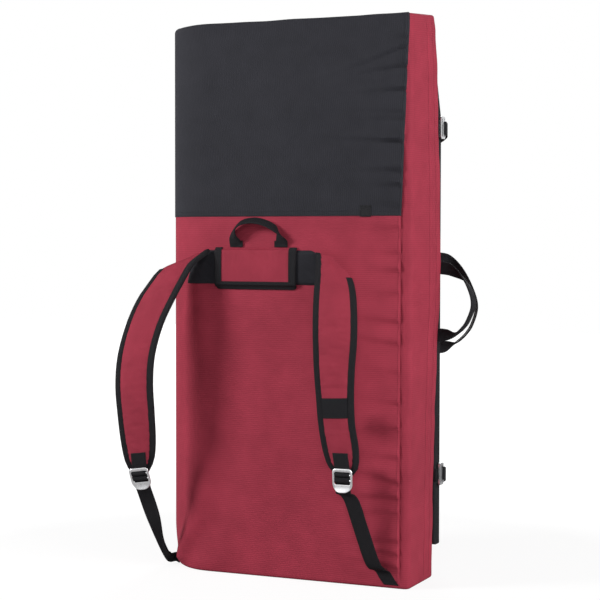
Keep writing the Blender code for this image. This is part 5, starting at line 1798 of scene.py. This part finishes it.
def along(points, distance):
    """The point that far along a chain of points, and the direction there."""
    left = distance
    for start, end in zip(points, points[1:]):
        length = (end - start).length
        if left <= length:
            return start + (end - start) * (left / length), (end - start).normalized()
        left -= length
    return points[-1].copy(), (points[-1] - points[-2]).normalized()


flap_line = []
for across, depth in flap_shares:
    flap_line.append(Vector((fold_x + near_width + across * flap_step, fold_y + depth * half_depth)))
flap_root_x = fold_x + far_width + flap_thickness / 2 + flap_hinge_gap
flap_line.append(Vector((flap_root_x, fold_y + flap_root_share * half_depth)))
flap_line = smooth_through(flap_line, 4)
flap_length = distances(flap_line)[-1]


def flap_place(distance, z, out):
    """A point that far along the flap from its free edge and out from its middle."""
    point, direction = along(flap_line, distance)
    away = Vector((direction.y, -direction.x, 0))
    tuck = max((z - flap_tuck_z) / (flap_top - flap_tuck_z), 0.0)
    drawn = flap_tuck * tuck * (1 - distance / flap_length)
    return Vector((point.x - drawn, point.y, z)) + away * out, away


def flap_levels():
    """Heights of the flap's rows, with how far each one's free edge is rounded off."""
    corner = rounded_end(flap_corner)
    levels = [(flap_low + rise, pull) for rise, pull in corner]
    levels += [(z, 0.0) for z in spread(flap_low + flap_corner, flap_top - flap_corner, 120)[1:-1]]
    return levels + [(flap_top - rise, pull) for rise, pull in reversed(corner)]


def flap_rise(distance, z):
    """Half the flap's thickness, pinched where it is bound, sewn and at its ends."""
    ends = min(z - flap_low, flap_top - z) / flap_end_fade
    sides = min(distance - flap_tape * 0.8, flap_length - distance) / flap_side_fade
    buckle = 0.0007 * wave(31, z + distance, 0.05) + 0.0004 * wave(33, z, 0.018)
    return flap_edge + (flap_padding + buckle * 0.6) * eased(ends) * eased(sides)


def tape_hollow(distance, z):
    """How far the flap's free edge sinks behind the swollen side, between its two hooks."""
    return flap_hollow * hill(z, flap_hollow_z, 0.15, 4) * clamped(1 - distance / flap_tape)


def make_flap(material):
    rings = []
    marks = []
    for z, pull in flap_levels():
        ring = []
        row_marks = []
        for face in (1, -1):
            for distance in spread(pull, flap_length, 27)[::face]:
                place, _ = flap_place(distance, z, face * flap_rise(distance, z))
                place.x -= tape_hollow(distance, z)
                ring.append(place)
                row_marks.append((distance, z))
        rings.append(ring)
        marks.append(row_marks)
    return shell("flap_padding", rings, marks, material)


def make_flap_tape(material):
    """Tape folded round the flap's free edge, with rounded lips."""
    slot = flap_thickness / 2 + flap_slot_gap
    half = flap_surface
    turn = [(-half * 0.75 * math.sin(a), half * math.cos(a)) for a in spread(0.0, math.pi, 9)]
    lip = [(flap_tape, slot + flap_tape_lip), (flap_tape + flap_tape_lip, half - 2 * flap_tape_lip)]
    lip += [(d, half) for d in spread(flap_tape, 0.0, 6)[:-1]]
    section = lip + turn + [(d, -out) for d, out in reversed(lip)]
    section += [(-flap_slot_gap, -slot), (-flap_slot_gap, slot)]
    direction = along(flap_line, 0.0)[1].to_3d()
    rings = []
    marks = []
    for z, pull in flap_levels():
        if pull > flap_corner / 2:
            continue
        ring = []
        for d, out in section:
            inwards = max(d, 0.0)
            base, _ = flap_place(inwards + pull, z, out)
            base.x -= flap_hollow * hill(z, flap_hollow_z, 0.15, 4) * (1 - inwards / flap_tape)
            ring.append(base + direction * min(d, 0.0))
        rings.append(ring)
        marks.append([(run, z) for run in distances(ring)])
    return shell("flap_edge_tape", rings, marks, material)


flap = settle(make_flap(red_ribbed), "closure_flap", "red_canvas", "closure_flap")
settle(make_flap_tape(edge_tape), "closure_flap", "black_webbing", "flap_binding")
flap_runs = []
for face in (1, -1):
    run = []
    for z in spread(flap_low + 0.02, flap_top - 0.02, 150):
        place, away = flap_place(flap_tape - 0.003, z, flap_surface * face)
        run.append((place, away * face))
    flap_runs.append(run)
stitches("flap_tape_stitches", flap_runs, thread_black, "closure_flap")

# Closures: at two heights a webbing strap is sewn along the flap, folded round the bar of an
# aluminium hook, and its tail hangs free. The near half's webbing tabs lie under the hooks' ends.
hook_levels = {"upper": 0.852, "lower": 0.195}
hook_length = 0.026
hook_thickness = 0.003
hook_bar = 0.004
hook_stand = 0.0058
hook_set_back = 0.004
hook_edge = 0.0006
closure_sewn = 0.03
closure_stitch_aside = 0.009
closure_tail = 0.028
closure_tail_rise = 0.0055
closure_tail_drop = 0.016
closure_tail_shares = ((0.25, 1.0), (0.6, 0.6), (0.85, 0.12), (1.0, 0.05))
tab_inside = 0.026


def make_closure(level, z, material):
    bar = hook_set_back + hook_length - hook_bar / 2
    base, _ = flap_place(bar, z, flap_surface + hook_stand)
    head, _ = flap_place(hook_set_back, z, flap_surface + hook_stand)
    forward = (head - base).normalized()
    away = Vector((-forward.y, forward.x, 0))
    if away.x < 0:
        away = -away
    half = webbing_thickness / 2
    turn = bar_turn(hook_bar, hook_thickness)
    lie = flap_thickness / 2 + fit_gap + half
    points = [flap_place(d, z, lie)[0] for d in spread(bar + closure_sewn, bar + turn * 1.5, 6)]
    for angle in spread(math.radians(-70), math.radians(90), 7):
        points.append(base + forward * (turn * math.cos(angle)) + away * (turn * math.sin(angle)))
    for share, rise in closure_tail_shares:
        out = lie + webbing_ply + (hook_stand + closure_tail_rise) * rise
        place, _ = flap_place(bar + turn + closure_tail * share, z, out)
        points.append(place - upright * closure_tail_drop * share)
    centres = smooth_through(points, 4)
    ways = [upright] * len(centres)
    strap = tape("closure_webbing_" + level, centres, ways, webbing_width, webbing_thickness, material)
    settle(strap, "closure_flap", "black_webbing", "closure_strap_" + level)
    tip = base + forward * (hook_length - hook_bar / 2)
    side_x = fold_x + near_width
    tab_y = fold_y - half_gap / 2 + fit_gap + half
    ends = [Vector((x, tab_y, z)) for x in spread(side_x - tab_inside, max(side_x, tip.x), 8)]
    tab = tape("closure_loop_" + level, ends, [upright] * 8, webbing_width, webbing_thickness, material)
    settle(tab, "near_half", "black_webbing", "closure_tab_" + level)
    stations = spread(bar + closure_sewn * 0.95, bar + closure_sewn * 0.35, 8)
    rows = []
    for aside in (-closure_stitch_aside, closure_stitch_aside):
        rows.append([flap_place(d, z + aside, lie + half) for d in stations])
    stitches("closure_stitches_" + level, rows, thread_black, "closure_flap")


for level, z in hook_levels.items():
    make_closure(level, z, webbing_finish)
    dress("closure_hook_" + level, aluminium, hook_edge)

# Carry handles: doubled webbing loops at the open side. The ends lie along the seam and the grip
# is turned across it. The near one is sewn to the near half's seam and the far one to the flap. The
# shares are of the reach outwards, the way down and the turn.
near_handle_top = 0.588
near_handle_low = 0.461
near_handle_reach = 0.068
near_handle_stand = -0.0016
near_handle_inset = 0.0023
near_handle_low_inset = 0.0047
far_handle_top = 0.604
far_handle_low = 0.441
far_handle_reach = 0.074
far_handle_share = 0.34
handle_thickness = 0.0027
near_handle_shares = ((0.0, 0.0, 0.0), (0.3, 0.03, 0.16), (0.66, 0.15, 0.7), (0.91, 0.35, 1.0))
near_handle_shares += ((0.99, 0.56, 1.0), (0.87, 0.77, 1.0), (0.74, 0.88, 1.0), (0.56, 0.965, 0.95))
near_handle_shares += ((0.3, 0.99, 0.4), (0.0, 1.0, 0.0))
far_handle_shares = ((0.0, 0.0, 0.0), (0.28, 0.03, 0.16), (0.6, 0.16, 0.6), (0.86, 0.35, 1.0))
far_handle_shares += ((0.98, 0.56, 1.0), (0.87, 0.76, 1.0), (0.7, 0.885, 1.0), (0.45, 0.985, 0.95))
far_handle_shares += ((0.2, 1.03, 0.35), (0.0, 1.035, 0.0))


def make_handle(name, shares, root, outwards, top_z, low_z, reach, low_inset):
    """A carry handle that stands out from its root, between two heights."""
    centres = []
    for out, drop, _ in shares:
        z = top_z + (low_z - top_z) * drop
        centres.append(Vector((root.x, root.y, z)) + outwards * (reach * out - low_inset * drop))
    centres = smooth_through(centres, 8)
    turns = smooth_through([turn for _, _, turn in shares], 8)
    ways = (upright, outwards.cross(upright).normalized())
    grip = grip_piece(name + "_grip", centres, turns, ways, webbing_width, handle_thickness, webbing_finish)
    settle(grip, name + "_handle", "black_webbing", name + "_handle")


middle_z = (near_handle_top + near_handle_low) / 2
near_root_x = fold_x + near_width + side_swell * fullness(middle_z) - near_handle_inset
near_root = Vector((near_root_x, fold_y + near_handle_stand, 0))
near_sizes = (near_handle_top, near_handle_low, near_handle_reach, near_handle_low_inset)
make_handle("near", near_handle_shares, near_root, Vector((1, 0, 0)), *near_sizes)
far_root, far_away = flap_place(flap_length * far_handle_share, 0, flap_thickness / 2 + sewn_gap)
far_sizes = (far_handle_top, far_handle_low, far_handle_reach, 0.0)
make_handle("far", far_handle_shares, far_root, far_away, *far_sizes)
